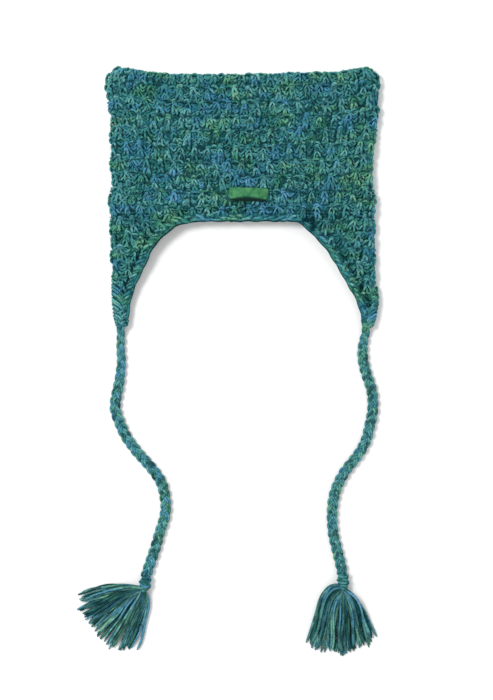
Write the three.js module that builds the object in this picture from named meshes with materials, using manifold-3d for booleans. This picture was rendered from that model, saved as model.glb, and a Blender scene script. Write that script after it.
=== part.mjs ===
// A crocheted bonnet laid flat: a square topped crown with two corner ears, two ear flaps
// folded double on the side folds, a crocheted edging, two plaited ties and two yarn tassels.
// Millimetres, +Z up. +X runs across the hat and +Y towards its closed top edge. It lies on
// the plane z = 0, and the origin is on that plane below the middle of the hat without its ties.
import * as THREE from 'three';
import { mergeVertices } from 'three/addons/utils/BufferGeometryUtils.js';
import Module from 'manifold-3d';

const wasm = await Module();
wasm.setup();

// Driving sizes of the hat
const hatWidth = 274.6; // widest place of the flat hat, just below the corner ears
const crownDepth = 148; // middle of the top edge down to the brim
const earRise = 7; // height of the corner ears above the middle of the top edge
const earRadius = 11; // rounding of a corner ear in plan
const flapLength = 106; // brim down to the tip of an ear flap
const wall = 5; // thickness of one layer of crochet
const foldHeight = 12; // height of the two layers along the side folds and the top edge
const middleHeight = 20; // height over the air between the layers
const puffReach = 50; // distance from a fold at which the full height is reached
const tipHeight = 10.4; // height of the two layers at a flap's tip
const slotHeight = 0.8; // air that is left between the two layers at a flap's tip
const rowPitch = 15.2; // one row of crochet, measured down the hat
const ribDepth = 0.9; // swell of each row above and below the mean surface
const seam = 0.4; // gap between pieces that are sewn or crocheted to each other

// Driving sizes of the edging and the label
const edgingWidth = 7;
const edgingRound = 1.6; // rounding of its four long corners
const labelWidth = 40;
const labelHeight = 11;
const labelThickness = 1.3;
const labelBow = 2.6; // how far its middle stands off the crochet
const labelAboveBrim = 28.5; // brim up to the middle of the label
const labelAcross = 6.4; // middle of the hat to the middle of the label
const labelTurn = -1.7; // degrees, seen from above

// Driving sizes of the ties, knots and tassels
const tieWidth = 9;
const tieSides = 10;
const tieSteps = 20;
const knotWidth = 12.4;
const knotLength = { left: 12.5, right: 16 };
const knotLean = { left: -7, right: 3 }; // degrees from straight down the photo, positive to the right
const knotTurns = 4; // turns of yarn that show on a knot
const turnDepth = 0.7; // hollow between two turns
const tasselLength = 66;
const lockWidth = 12; // width of a lock where it is widest
const lockHeight = 7.5;
const lockLayer = 5.2; // height of the upper locks above the lower ones
const rootWidth = 5.5; // width of a lock where it leaves the knot
const headRadius = 4.5; // ball under the knot that the locks grow from

// The side folds. Down is a share of the crown's depth, left and right are shares of half the width.
const crownSides = [
  { down: -0.05, left: 0.988, right: 0.988 },
  { down: 0.1, left: 1.0, right: 1.0 },
  { down: 0.27, left: 0.971, right: 0.994 },
  { down: 0.45, left: 0.966, right: 0.974 },
  { down: 0.6, left: 0.964, right: 0.953 },
  { down: 0.73, left: 0.957, right: 0.959 },
  { down: 0.87, left: 0.977, right: 0.976 },
  { down: 1.0, left: 0.97, right: 0.968 },
];

// The outer folds of the flaps. Down is a share of the flap's length.
const flapSides = [
  { down: 0.0, left: 0.97, right: 0.968 },
  { down: 0.3, left: 0.965, right: 0.972 },
  { down: 0.52, left: 0.95, right: 0.976 },
  { down: 0.75, left: 0.948, right: 0.993 },
  { down: 0.88, left: 0.938, right: 0.978 },
  { down: 0.95, left: 0.926, right: 0.963 },
  { down: 1.0, left: 0.914, right: 0.954 },
];

// The lower edge from the middle of the brim round the opening to each tip.
// Down is a share of the flap's length, left and right are shares of half the width.
const openingEdge = [
  { down: 0.0, left: 0.0, right: 0.0 },
  { down: 0.0, left: 0.14, right: 0.14 },
  { down: 0.0, left: 0.28, right: 0.28 },
  { down: 0.0, left: 0.39, right: 0.395 },
  { down: 0.045, left: 0.478, right: 0.458 },
  { down: 0.137, left: 0.57, right: 0.52 },
  { down: 0.251, left: 0.648, right: 0.602 },
  { down: 0.4, left: 0.7, right: 0.678 },
  { down: 0.575, left: 0.766, right: 0.756 },
  { down: 0.75, left: 0.812, right: 0.832 },
  { down: 0.88, left: 0.825, right: 0.862 },
  { down: 1.0, left: 0.836, right: 0.876 },
];

// The top edge. Across is a share of half the width, rise is a share of the ears' rise.
const topEdge = [
  { across: -1.0, rise: 1.0 },
  { across: -0.88, rise: 1.0 },
  { across: -0.72, rise: 0.42 },
  { across: -0.45, rise: 0.0 },
  { across: 0.1, rise: 0.0 },
  { across: 0.35, rise: 0.24 },
  { across: 0.72, rise: 0.3 },
  { across: 0.88, rise: 1.0 },
  { across: 1.0, rise: 1.0 },
];

// Shallow dents and swellings of the upper layer. Across is a share of half the width, down a
// share of the crown's depth, lift a share of the ribs' depth and reach a share of the depth.
const dents = [
  { across: -0.74, down: 0.72, lift: -1.6, reach: 0.2 },
  { across: -0.5, down: 0.3, lift: 1.1, reach: 0.22 },
  { across: 0.05, down: 0.62, lift: 0.9, reach: 0.3 },
  { across: 0.4, down: 0.25, lift: -0.9, reach: 0.2 },
  { across: 0.72, down: 0.68, lift: -1.4, reach: 0.22 },
];

// Where each tie leaves its flap's tip, as a share of half the width.
const tieExit = { left: -0.887, right: 0.9 };

// The ties' routes, chosen by hand, as steps [x, y] from the exit at the flap's tip.
const tieRoute = {
  left: [
    [0, 0], [0, -8], [-0.3, -20], [0.5, -34], [-0.5, -46], [-1.5, -54], [-3.5, -64], [-5.5, -75],
    [-5.5, -82], [-3.5, -89], [-0.5, -97], [3, -105], [7, -112], [11.5, -118], [16.5, -124.5],
    [22, -130.5], [27, -136], [32, -142], [36.5, -148], [40.5, -155], [43, -163], [44.5, -172],
    [45, -180], [43.8, -190], [41, -199], [38.5, -207], [35.8, -217], [32.5, -227], [29.4, -236],
    [26.6, -244], [25.2, -249.5],
  ],
  right: [
    [0, 0], [0, -5], [-1.8, -12], [-3.2, -21], [-2.8, -31], [-1.3, -39], [0.7, -46], [3.5, -54],
    [6, -62], [7.2, -71], [7.2, -81], [5.7, -91], [3.7, -99], [2, -107], [-0.8, -115], [-5, -123],
    [-9.3, -129.5], [-15, -136.5], [-20, -143], [-24, -149.5], [-27.3, -156], [-30.2, -163],
    [-32, -170], [-33.3, -178], [-33.8, -188], [-33.3, -198], [-32.2, -208], [-30.3, -216],
    [-27.8, -226], [-25.3, -236], [-23.3, -246],
  ],
};

// The tassels' locks. Leave and swing are degrees from straight down the photo, positive to the
// right: the way a lock leaves the knot, and the way its tip lies. Reach is a share of the
// tassel's length, bend is a share of the lock's length before it turns to its tip, and layer
// is 0 for a lock on the floor and 1 for one that lies on others.
const tasselLocks = {
  left: [
    { leave: -106, swing: -89, bend: 0.66, reach: 0.84, layer: 0.5 },
    { leave: -92, swing: -78, bend: 0.5, reach: 0.92, layer: 0 },
    { leave: -74, swing: -65, bend: 0.45, reach: 0.92, layer: 0 },
    { leave: -54, swing: -52, bend: 0.45, reach: 0.93, layer: 0 },
    { leave: -34, swing: -39, bend: 0.45, reach: 0.93, layer: 0 },
    { leave: -14, swing: -27, bend: 0.45, reach: 0.91, layer: 0 },
    { leave: 12, swing: -17, bend: 0.4, reach: 0.86, layer: 0 },
    { leave: 60, swing: -10, bend: 0.36, reach: 0.7, layer: 0 },
    { leave: -80, swing: -68, bend: 0.45, reach: 0.76, layer: 1 },
    { leave: -50, swing: -45, bend: 0.45, reach: 0.8, layer: 1 },
    { leave: -16, swing: -22, bend: 0.45, reach: 0.72, layer: 1 },
  ],
  right: [
    { leave: -92, swing: -41, bend: 0.54, reach: 0.81, layer: 0 },
    { leave: -62, swing: -29, bend: 0.48, reach: 0.84, layer: 0 },
    { leave: -38, swing: -18, bend: 0.45, reach: 0.85, layer: 0 },
    { leave: -14, swing: -7, bend: 0.45, reach: 0.86, layer: 0 },
    { leave: 8, swing: 3, bend: 0.45, reach: 0.83, layer: 0 },
    { leave: 30, swing: 13, bend: 0.45, reach: 0.82, layer: 0 },
    { leave: 52, swing: 24, bend: 0.45, reach: 0.79, layer: 0 },
    { leave: 78, swing: 34, bend: 0.44, reach: 0.72, layer: 0 },
    { leave: -58, swing: -27, bend: 0.5, reach: 0.7, layer: 1 },
    { leave: -6, swing: -2, bend: 0.45, reach: 0.74, layer: 1 },
    { leave: 48, swing: 19, bend: 0.45, reach: 0.66, layer: 1 },
  ],
};

// Places worked out from the driving sizes
const halfWidth = hatWidth / 2;
const topMiddleY = (crownDepth + flapLength - earRise) / 2;
const brimY = topMiddleY - crownDepth;
const tipY = brimY - flapLength;
const mouthY = brimY + edgingWidth + seam;
const flapTopY = mouthY - seam;
const edgeRound = foldHeight / 2;

const { clamp, degToRad, lerp, smoothstep } = THREE.MathUtils;

// Reads one column of a table at a place between its rows, easing from row to row.
function readTable(table, key, place, column) {
  let row = 1;
  while (row < table.length - 1 && table[row][key] < place) {
    row += 1;
  }
  const share = smoothstep(place, table[row - 1][key], table[row][key]);
  return lerp(table[row - 1][column], table[row][column], share);
}

function sideFold(side, y) {
  const sign = side === 'left' ? -1 : 1;
  if (y > brimY) {
    return sign * halfWidth * readTable(crownSides, 'down', (topMiddleY - y) / crownDepth, side);
  }
  return sign * halfWidth * readTable(flapSides, 'down', (brimY - y) / flapLength, side);
}

function topFold(x) {
  return topMiddleY + earRise * readTable(topEdge, 'across', x / halfWidth, 'rise');
}

// Distance of a point in plan from the nearest fold, following the rounded corner ears.
function foldDistance(x, y) {
  const fromSide = Math.min(x - sideFold('left', y), sideFold('right', y) - x);
  const fromTop = topFold(x) - y;
  if (fromSide < earRadius && fromTop < earRadius) {
    return earRadius - Math.hypot(earRadius - fromSide, earRadius - fromTop);
  }
  return Math.min(fromSide, fromTop);
}

// How far a corner ear has drawn the side in, at a distance below the top edge.
function earInset(radius, belowTop) {
  const rest = clamp(radius - belowTop, 0, radius);
  return radius - Math.sqrt(radius * radius - rest * rest);
}

// A quarter circle as a share of its radius, at a share of the way in from its edge.
function quarterRound(share) {
  const rest = 1 - clamp(share, 0, 1);
  return Math.sqrt(1 - rest * rest);
}

// Height of the two layers at a fold, which lie closer towards the flaps' tips.
function foldHeightAt(y) {
  return lerp(foldHeight, tipHeight, smoothstep(brimY - y, 0, flapLength));
}

function layerAt(y) {
  return Math.min(wall, (foldHeightAt(y) - slotHeight) / 2);
}

function denting(x, y) {
  let lift = 0;
  for (const dent of dents) {
    const dx = x - dent.across * halfWidth;
    const dy = y - (topMiddleY - dent.down * crownDepth);
    const reach = dent.reach * crownDepth;
    lift += dent.lift * ribDepth * Math.exp(-(dx * dx + dy * dy) / (reach * reach));
  }
  return lift;
}

// The upper layer's mean surface, without the ribs of its rows.
function meanTop(x, y) {
  const inside = foldDistance(x, y);
  const half = foldHeightAt(y) / 2;
  const puff = (middleHeight - foldHeight) * smoothstep(inside, 0, puffReach);
  const soft = quarterRound(inside / edgeRound);
  return half + half * soft + puff + denting(x, y) * smoothstep(inside, 0, puffReach);
}

// Each row of crochet is a rib, so its swell follows the distance below the top edge.
function outerTop(x, y) {
  const swell = -ribDepth * Math.cos((2 * Math.PI * (topMiddleY - y)) / rowPitch);
  return meanTop(x, y) + swell * smoothstep(foldDistance(x, y), 0, 2 * edgeRound);
}

function outerBottom(x, y) {
  return (foldHeightAt(y) / 2) * (1 - quarterRound(foldDistance(x, y) / edgeRound));
}

// The inner faces close on each other at the inner side of a fold.
function innerFaces(x, y, insideWall) {
  const middle = foldHeightAt(y) / 2;
  const open = quarterRound(insideWall / (middle - layerAt(y) + slotHeight));
  const highest = Math.max(meanTop(x, y) - layerAt(y), middle + slotHeight / 2);
  const lowest = Math.min(outerBottom(x, y) + layerAt(y), middle - slotHeight / 2);
  return { top: lerp(middle, highest, open), bottom: lerp(middle, lowest, open) };
}

// A closed skin over rings of equally many points. Each ring is joined to the next, and an
// open end is shut by a strip that joins the ring's first half to its second half.
function skin(rings, shutEnds) {
  const around = rings[0].length;
  const index = [];
  for (let ring = 0; ring + 1 < rings.length; ring += 1) {
    for (let point = 0; point < around; point += 1) {
      const a = ring * around + point;
      const b = ring * around + ((point + 1) % around);
      index.push(a, b, b + around, a, b + around, a + around);
    }
  }
  if (shutEnds) {
    const last = (rings.length - 1) * around;
    for (let point = 0; point + 1 < around / 2; point += 1) {
      const a = point;
      const b = point + 1;
      const c = around - 2 - point;
      const d = around - 1 - point;
      index.push(a, c, b, a, d, c);
      index.push(last + a, last + b, last + c, last + a, last + c, last + d);
    }
  }
  const geometry = new THREE.BufferGeometry();
  geometry.setAttribute('position', new THREE.Float32BufferAttribute(rings.flat(2), 3));
  geometry.setIndex(index);
  return facingOut(mergeVertices(geometry, 0.001));
}

// Turns a closed geometry's faces over if they point inwards.
function facingOut(geometry) {
  const place = geometry.getAttribute('position');
  const index = geometry.getIndex();
  const corners = [new THREE.Vector3(), new THREE.Vector3(), new THREE.Vector3()];
  let volume = 0;
  for (let face = 0; face < index.count; face += 3) {
    corners.forEach((corner, k) => corner.fromBufferAttribute(place, index.getX(face + k)));
    volume += corners[0].dot(corners[1].cross(corners[2]));
  }
  if (volume < 0) {
    const flipped = Array.from(index.array);
    for (let face = 0; face < flipped.length; face += 3) {
      [flipped[face], flipped[face + 1]] = [flipped[face + 1], flipped[face]];
    }
    geometry.setIndex(flipped);
  }
  return geometry;
}

function joined(geometries) {
  let whole = null;
  for (const geometry of geometries) {
    const solid = new wasm.Manifold(new wasm.Mesh({
      numProp: 3,
      vertProperties: geometry.getAttribute('position').array,
      triVerts: Uint32Array.from(geometry.getIndex().array),
    }));
    whole = whole ? whole.add(solid) : solid;
  }
  const mesh = whole.getMesh();
  const result = new THREE.BufferGeometry();
  result.setAttribute('position', new THREE.BufferAttribute(mesh.vertProperties, 3));
  result.setIndex(Array.from(mesh.triVerts));
  return result;
}

function yarnPiece(name, geometry, colour) {
  const material = new THREE.MeshStandardMaterial({ color: colour, roughness: 0.95, metalness: 0 });
  const mesh = new THREE.Mesh(geometry, material);
  mesh.name = name;
  return mesh;
}

// Steps in from a fold that follow its rounding, then even steps over the middle.
function stepsAcross(reach, firstSteps, evenSteps) {
  const start = firstSteps[firstSteps.length - 1];
  const steps = [...firstSteps];
  for (let step = 1; step <= evenSteps; step += 1) {
    steps.push(lerp(start, reach, step / evenSteps));
  }
  return steps;
}

// One flat ring of the crown: over the top from left to right and back underneath.
function crownRing(share, inset, faces) {
  const roundSteps = [0, 0.1, 0.45, 1.0].map((part) => part * edgeRound);
  const radius = earRadius - inset;
  const middleTop = topMiddleY - inset;
  const belowTop = share * (middleTop - mouthY);
  const drawnIn = inset + earInset(radius, belowTop);
  const upper = [];
  const lower = [];
  const add = (x) => {
    const top = topFold(x) - inset;
    const y = lerp(top, mouthY, share);
    const { top: high, bottom: low } = faces(x, y);
    upper.push([x, y, high]);
    lower.unshift([x, y, low]);
  };
  const sideY = lerp(topMiddleY + earRise - inset, mouthY, share);
  const left = sideFold('left', sideY) + drawnIn;
  const right = sideFold('right', sideY) - drawnIn;
  const middle = (left + right) / 2;
  const steps = stepsAcross(middle - left, roundSteps, 5);
  steps.forEach((step) => add(left + step));
  steps.slice(0, -1).reverse().forEach((step) => add(right - step));
  return [...upper, ...lower.slice(1, -1)];
}

// The crown is a pocket: an outer skin from the closed top edge down to the mouth, and an
// inner skin back up to its own closed end.
function crown() {
  const depth = topMiddleY - mouthY;
  const sectionsPerRow = 4;
  const rows = Math.round((depth / rowPitch) * sectionsPerRow);
  const outerShares = [0, 0.1, 0.45, 1.0].map((part) => (part * edgeRound) / depth);
  for (let row = 2; row <= rows; row += 1) {
    outerShares.push(row / rows);
  }
  const outer = outerShares.map((share) => crownRing(share, 0, (x, y) => ({
    top: share === 0 ? foldHeight / 2 : outerTop(x, y),
    bottom: share === 0 ? foldHeight / 2 : outerBottom(x, y),
  })));
  const innerShares = [1, 0.85, 0.7, 0.55, 0.4, 0.25, 0.12, 0.04, 0.01, 0];
  const inner = innerShares.map((share) => crownRing(share, wall, (x, y) => {
    if (share === 0) {
      return { top: foldHeight / 2, bottom: foldHeight / 2 };
    }
    return innerFaces(x, y, foldDistance(x, y) - wall);
  }));
  return yarnPiece('crown', skin([...outer, ...inner], false), 0x2f7f88);
}

// The lower edge of the hat from the left tip over the brim to the right tip.
function openingCurve() {
  const half = (side, sign) => openingEdge.map((row) => new THREE.Vector3(
    sign * row[side] * halfWidth,
    brimY - row.down * flapLength,
    0,
  ));
  const left = half('left', -1).reverse();
  const right = half('right', 1).slice(1);
  return new THREE.CatmullRomCurve3([...left, ...right], false, 'centripetal');
}

// Points of the lower edge moved into the cloth by a distance, square to the edge.
function movedIn(distance, steps) {
  const curve = openingCurve();
  const points = [];
  for (let step = 0; step <= steps; step += 1) {
    const place = curve.getPointAt(step / steps);
    const along = curve.getTangentAt(step / steps);
    const y = Math.min(place.y + along.x * distance, brimY + distance);
    points.push(new THREE.Vector2(place.x - along.y * distance, y));
  }
  return points;
}

const clothEdge = movedIn(edgingWidth + seam, 400);

// The x at which a flap's own cloth ends and the edging begins.
function clothEdgeAt(side, y) {
  const points = side === 'left' ? clothEdge : [...clothEdge].reverse();
  let found = 1;
  while (found < points.length - 1 && points[found].y < y) {
    found += 1;
  }
  const from = points[found - 1];
  const to = points[found];
  const share = clamp((y - from.y) / (to.y - from.y || 1), 0, 1);
  return lerp(from.x, to.x, share);
}

// One ring of a flap: its cloth folded double, from the upper free edge over the side fold to
// the lower free edge, and back along the inside.
function flapRing(side, y) {
  const sign = side === 'left' ? 1 : -1;
  const fold = sideFold(side, y);
  const width = (clothEdgeAt(side, y) - fold) * sign;
  const shares = [1, 0.7, 0.4];
  const rounding = [0.8, 0.4, 0.1].map((part) => Math.min(part * edgeRound, 0.28 * width * part));
  const across = [...shares.map((share) => share * width), ...rounding];
  const inset = Math.min(layerAt(y), 0.6 * width);
  const outer = [];
  const inner = [];
  across.forEach((step) => {
    const x = fold + sign * step;
    outer.push([x, y, outerTop(x, y)]);
    const inside = lerp(inset, width, step / width);
    const innerX = fold + sign * inside;
    inner.push([innerX, y, innerFaces(innerX, y, inside - inset).top]);
  });
  const middle = foldHeightAt(y) / 2;
  outer.push([fold, y, middle]);
  inner.push([fold + sign * inset, y, middle]);
  [...across].reverse().forEach((step) => {
    const x = fold + sign * step;
    outer.push([x, y, outerBottom(x, y)]);
    const inside = lerp(inset, width, step / width);
    const innerX = fold + sign * inside;
    inner.push([innerX, y, innerFaces(innerX, y, inside - inset).bottom]);
  });
  return [...outer, ...inner.reverse()];
}

function earFlap(side) {
  const firstDrops = [0, 0.7, 2, 4, 7];
  const lastDrop = flapTopY - tipY;
  const evenSteps = 18;
  const drops = stepsAcross(lastDrop, firstDrops, evenSteps);
  const rings = drops.map((drop) => flapRing(side, flapTopY - drop));
  return yarnPiece(`ear_flap_${side}`, skin(rings, true), side === 'left' ? 0x2f7f88 : 0x2b7a80);
}

// The edging is a flat band with rounded corners, along the edge of one layer.
function edging(layer) {
  const steps = 60;
  const middleLine = movedIn(edgingWidth / 2, steps);
  const inward = movedIn(edgingWidth, steps);
  const rings = middleLine.map((place, step) => {
    const side = new THREE.Vector2().subVectors(inward[step], place).normalize();
    const thickness = layerAt(place.y);
    const face = layer === 'front' ? meanTop(place.x, place.y) : thickness;
    const z = face - thickness / 2;
    const wide = edgingWidth / 2;
    const high = thickness / 2;
    const corners = [
      [wide, high - edgingRound], [wide - edgingRound, high],
      [edgingRound - wide, high], [-wide, high - edgingRound],
      [-wide, edgingRound - high], [edgingRound - wide, -high],
      [wide - edgingRound, -high], [wide, edgingRound - high],
    ];
    return corners.map(([out, up]) => [place.x + side.x * out, place.y + side.y * out, z + up]);
  });
  return yarnPiece(`edging_${layer}`, skin(rings, true), layer === 'front' ? 0x35858c : 0x276f78);
}

// The label is a short woven band sewn down at its two ends, with its middle bowed up.
function label() {
  const steps = 12;
  const middleY = brimY + labelAboveBrim;
  let seat = 0;
  for (const across of [-0.5, 0, 0.5]) {
    for (const up of [-0.5, -0.25, 0, 0.25, 0.5]) {
      const x = labelAcross + across * labelWidth;
      seat = Math.max(seat, outerTop(x, middleY + up * labelHeight) - (across === 0 ? labelBow : 0));
    }
  }
  const bow = (share) => labelBow * quarterRound(1 - Math.abs(2 * share - 1));
  const outline = new THREE.Shape();
  outline.moveTo(-labelWidth / 2, 0);
  for (let step = 0; step <= steps; step += 1) {
    outline.lineTo((step / steps - 0.5) * labelWidth, bow(step / steps) + labelThickness);
  }
  for (let step = steps; step > 0; step -= 1) {
    outline.lineTo((step / steps - 0.5) * labelWidth, bow(step / steps));
  }
  outline.closePath();
  const band = new THREE.ExtrudeGeometry(outline, { depth: labelHeight, bevelEnabled: false });
  band.translate(0, 0, -labelHeight / 2);
  band.rotateX(Math.PI / 2);
  const ribbon = new THREE.MeshStandardMaterial({ color: 0x3c8c46, roughness: 0.7, metalness: 0 });
  const mesh = new THREE.Mesh(band, ribbon);
  mesh.name = 'label';
  mesh.position.set(labelAcross, middleY, seat + seam);
  mesh.rotation.z = degToRad(labelTurn);
  return mesh;
}

function routePoints(side) {
  const exitX = tieExit[side] * halfWidth;
  const exitY = tipY - seam;
  return tieRoute[side].map(([x, y]) => new THREE.Vector3(exitX + x, exitY + y, tieWidth / 2));
}

// A tie is a round cord along its route, lying on the floor.
function tie(side) {
  const outline = new THREE.Shape();
  for (let step = 0; step < tieSides; step += 1) {
    const turn = (2 * Math.PI * step) / tieSides;
    const radius = tieWidth / 2;
    if (step === 0) {
      outline.moveTo(radius, 0);
    } else {
      outline.lineTo(radius * Math.cos(turn), radius * Math.sin(turn));
    }
  }
  outline.closePath();
  const route = new THREE.CatmullRomCurve3(routePoints(side), false, 'centripetal');
  const cord = new THREE.ExtrudeGeometry(outline, { steps: tieSteps, extrudePath: route });
  return yarnPiece(`tie_${side}`, cord, 0x2c7d7a);
}

// The way in plan at an angle from straight down the photo.
function headed(angle) {
  return new THREE.Vector3(Math.sin(degToRad(angle)), -Math.cos(degToRad(angle)), 0);
}

// A place past the end of a tie, on the line that its knot lies on.
function pastTie(side, distance) {
  const points = routePoints(side);
  return points[points.length - 1].clone().addScaledVector(headed(knotLean[side]), distance);
}

// A knot is a barrel of wrapped yarn turns round the tie's end.
function knot(side) {
  const length = knotLength[side];
  const stepsPerTurn = 4;
  const profile = [new THREE.Vector2(0, 0)];
  for (let step = 0; step <= knotTurns * stepsPerTurn; step += 1) {
    const share = step / (knotTurns * stepsPerTurn);
    const swell = 0.82 + 0.18 * Math.sin(Math.PI * share);
    const hollow = turnDepth * Math.cos(2 * Math.PI * knotTurns * share) ** 2 * 0.5;
    profile.push(new THREE.Vector2((knotWidth / 2 - hollow) * swell, share * length));
  }
  profile.push(new THREE.Vector2(0, length));
  const start = pastTie(side, 2 * seam);
  const mesh = yarnPiece(`knot_${side}`, new THREE.LatheGeometry(profile, 10), 0x266f86);
  mesh.position.set(start.x, start.y, knotWidth / 2);
  mesh.rotation.z = degToRad(knotLean[side] + 180);
  return mesh;
}

// A lock is a flat bundle of strands that leaves the knot one way and curves to its tip.
function lock(start, row) {
  const length = tasselLength * row.reach;
  const rise = row.layer * lockLayer;
  const bend = start.clone().addScaledVector(headed(row.leave), length * row.bend);
  const tip = start.clone().addScaledVector(headed(row.swing), length);
  bend.z = lockHeight * 0.62 + rise;
  tip.z = lockHeight / 2 + rise * 0.55;
  const path = new THREE.QuadraticBezierCurve3(start, bend, tip);
  const steps = 5;
  const sides = 8;
  const rings = [];
  for (let step = 0; step <= steps; step += 1) {
    const share = step / steps;
    const place = path.getPoint(share);
    const along = path.getTangent(share);
    const side = new THREE.Vector3(-along.y, along.x, 0).normalize();
    const grown = smoothstep(share, 0, 0.7);
    const wide = lerp(rootWidth, lockWidth, grown) / 2;
    const high = lerp(rootWidth, lockHeight, Math.sin(Math.PI * Math.min(share + 0.15, 0.85))) / 2;
    const floorZ = Math.max(place.z, high);
    const ring = [];
    for (let point = 0; point < sides; point += 1) {
      const turn = (2 * Math.PI * (point + 0.5)) / sides;
      const out = wide * Math.cos(turn);
      ring.push([place.x + side.x * out, place.y + side.y * out, floorZ + high * Math.sin(turn)]);
    }
    rings.push(ring);
  }
  return skin(rings, true);
}

// A tassel is its locks fused to a round head just past the knot.
function tassel(side) {
  const start = pastTie(side, 2 * seam + knotLength[side] + seam + headRadius);
  start.z = knotWidth / 2;
  const head = new THREE.SphereGeometry(headRadius, 10, 8);
  head.deleteAttribute('normal');
  head.deleteAttribute('uv');
  head.translate(start.x, start.y, start.z);
  const locks = tasselLocks[side].map((row) => lock(start, row));
  return yarnPiece(`tassel_${side}`, joined([mergeVertices(head, 0.001), ...locks]), 0x2a7f86);
}

const bonnet = new THREE.Group();
bonnet.add(crown());
bonnet.add(label());
for (const layer of ['front', 'back']) {
  bonnet.add(edging(layer));
}
for (const side of ['left', 'right']) {
  bonnet.add(earFlap(side));
  bonnet.add(tie(side));
  bonnet.add(knot(side));
  bonnet.add(tassel(side));
}

export default bonnet;
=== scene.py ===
# %% [markdown]
# # A crocheted bonnet, yarn by yarn
# The real thing is a square topped hat, hooked from a thick yarn that was dyed in short runs of
# teal, blue, green and near black. It lies flat on a pale table and is seen from straight above.
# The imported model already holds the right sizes: the crown, the ear flaps, the edging, the ties
# and the tassels as plain solids. This lesson lays real strands of yarn over those solids, so the
# stitches, the plaits and the tassels are shapes that catch light and not only a bump.

# %% Load the frame
import math

import bpy
import numpy as np
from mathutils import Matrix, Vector
from mathutils.bvhtree import BVHTree


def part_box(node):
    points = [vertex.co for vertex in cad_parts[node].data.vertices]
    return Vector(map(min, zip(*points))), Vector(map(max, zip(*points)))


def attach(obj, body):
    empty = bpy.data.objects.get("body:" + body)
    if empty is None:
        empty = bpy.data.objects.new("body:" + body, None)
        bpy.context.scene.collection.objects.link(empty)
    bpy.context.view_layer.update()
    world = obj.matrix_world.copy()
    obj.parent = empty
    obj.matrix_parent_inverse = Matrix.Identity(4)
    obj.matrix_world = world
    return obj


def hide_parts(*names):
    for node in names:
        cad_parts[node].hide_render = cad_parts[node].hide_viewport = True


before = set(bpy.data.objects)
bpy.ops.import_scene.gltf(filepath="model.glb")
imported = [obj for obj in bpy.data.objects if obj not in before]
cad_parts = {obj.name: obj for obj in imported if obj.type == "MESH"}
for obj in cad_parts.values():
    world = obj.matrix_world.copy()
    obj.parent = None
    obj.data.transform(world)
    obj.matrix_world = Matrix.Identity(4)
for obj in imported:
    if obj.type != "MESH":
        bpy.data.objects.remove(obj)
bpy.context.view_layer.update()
MM = 0.001
rng = np.random.default_rng(27)
print("nodes:", sorted(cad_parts))

# %% [markdown]
# ## The camera
# The photo was taken square on from above, so one pixel of it is one millimetre of the hat. A
# camera straight above the middle of the picture gives the same view. A long lens from far away
# keeps the sides of the tassels hidden, as they are in the photo. An orthographic camera would
# match as well, but a lens also gives honest pictures from the other sides.

# %% Camera
PHOTO_SIZE = (493, 700)
PHOTO_MIDDLE = (242.3, 197.0)
VIEW_HEIGHT = PHOTO_SIZE[1] * MM
LENS = 90.0
SENSOR = 36.0
HAT_LEVEL = 8 * MM
FARTHEST_SEEN = 20


def from_photo(px, py, z=0.0):
    """A place in metres, from a pixel of the photo and a height above the table."""
    return Vector(((px - PHOTO_MIDDLE[0]) * MM, (PHOTO_MIDDLE[1] - py) * MM, z))


def add_object(name, data):
    """Put a mesh, a lamp or a camera into the scene."""
    made = bpy.data.objects.new(name, data)
    bpy.context.collection.objects.link(made)
    return made


camera_data = bpy.data.cameras.new("camera")
camera_data.lens = LENS
camera_data.sensor_width = SENSOR
camera_data.clip_end = FARTHEST_SEEN
camera = add_object("camera", camera_data)
camera_height = HAT_LEVEL + VIEW_HEIGHT * LENS / SENSOR
camera.location = from_photo(PHOTO_SIZE[0] / 2, PHOTO_SIZE[1] / 2, camera_height)
bpy.context.scene.camera = camera
print("camera height in m:", round(camera.location.z, 3))

# %% [markdown]
# ## From lines to yarn
# Every strand here is a line of points with a thickness. Blender's curve objects could make the
# tubes, but thousands of short curves are slow, so one helper sweeps a ring of points along many
# lines at once and writes them as a single mesh. It also stores where each point lies along and
# around its strand, because the twist of the fibres follows the strand and not the room, and how
# near it is to the strand's crest. From that the materials paint a highlight on the crest and shade
# on the flanks and underside.

# %% Smooth lines
STEPS_BETWEEN = 12


def unit(vectors):
    """The same directions, with length one."""
    return vectors / (np.linalg.norm(vectors, axis=-1, keepdims=True) + 1e-12)


def smooth_line(points, count):
    """Points at even spacing on a smooth line through a few chosen points."""
    p = np.asarray(points, float)
    ends = np.vstack([2 * p[0] - p[1], p, 2 * p[-1] - p[-2]])
    fine = []
    for k in range(1, len(ends) - 2):
        for s in np.linspace(0, 1, STEPS_BETWEEN, endpoint=False):
            a, b, c, d = ends[k - 1], ends[k], ends[k + 1], ends[k + 2]
            fine.append(0.5 * (2 * b + (c - a) * s + (2 * a - 5 * b + 4 * c - d) * s * s
                               + (3 * b - a - 3 * c + d) * s ** 3))
    fine = np.array(fine + [p[-1]])
    run = np.concatenate([[0], np.cumsum(np.linalg.norm(np.diff(fine, axis=0), axis=1))])
    even = np.linspace(0, run[-1], count)
    return np.stack([np.interp(even, run, fine[:, k]) for k in range(p.shape[1])], axis=1)

# %% Sweep strands into one mesh
SIDES = 6


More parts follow.
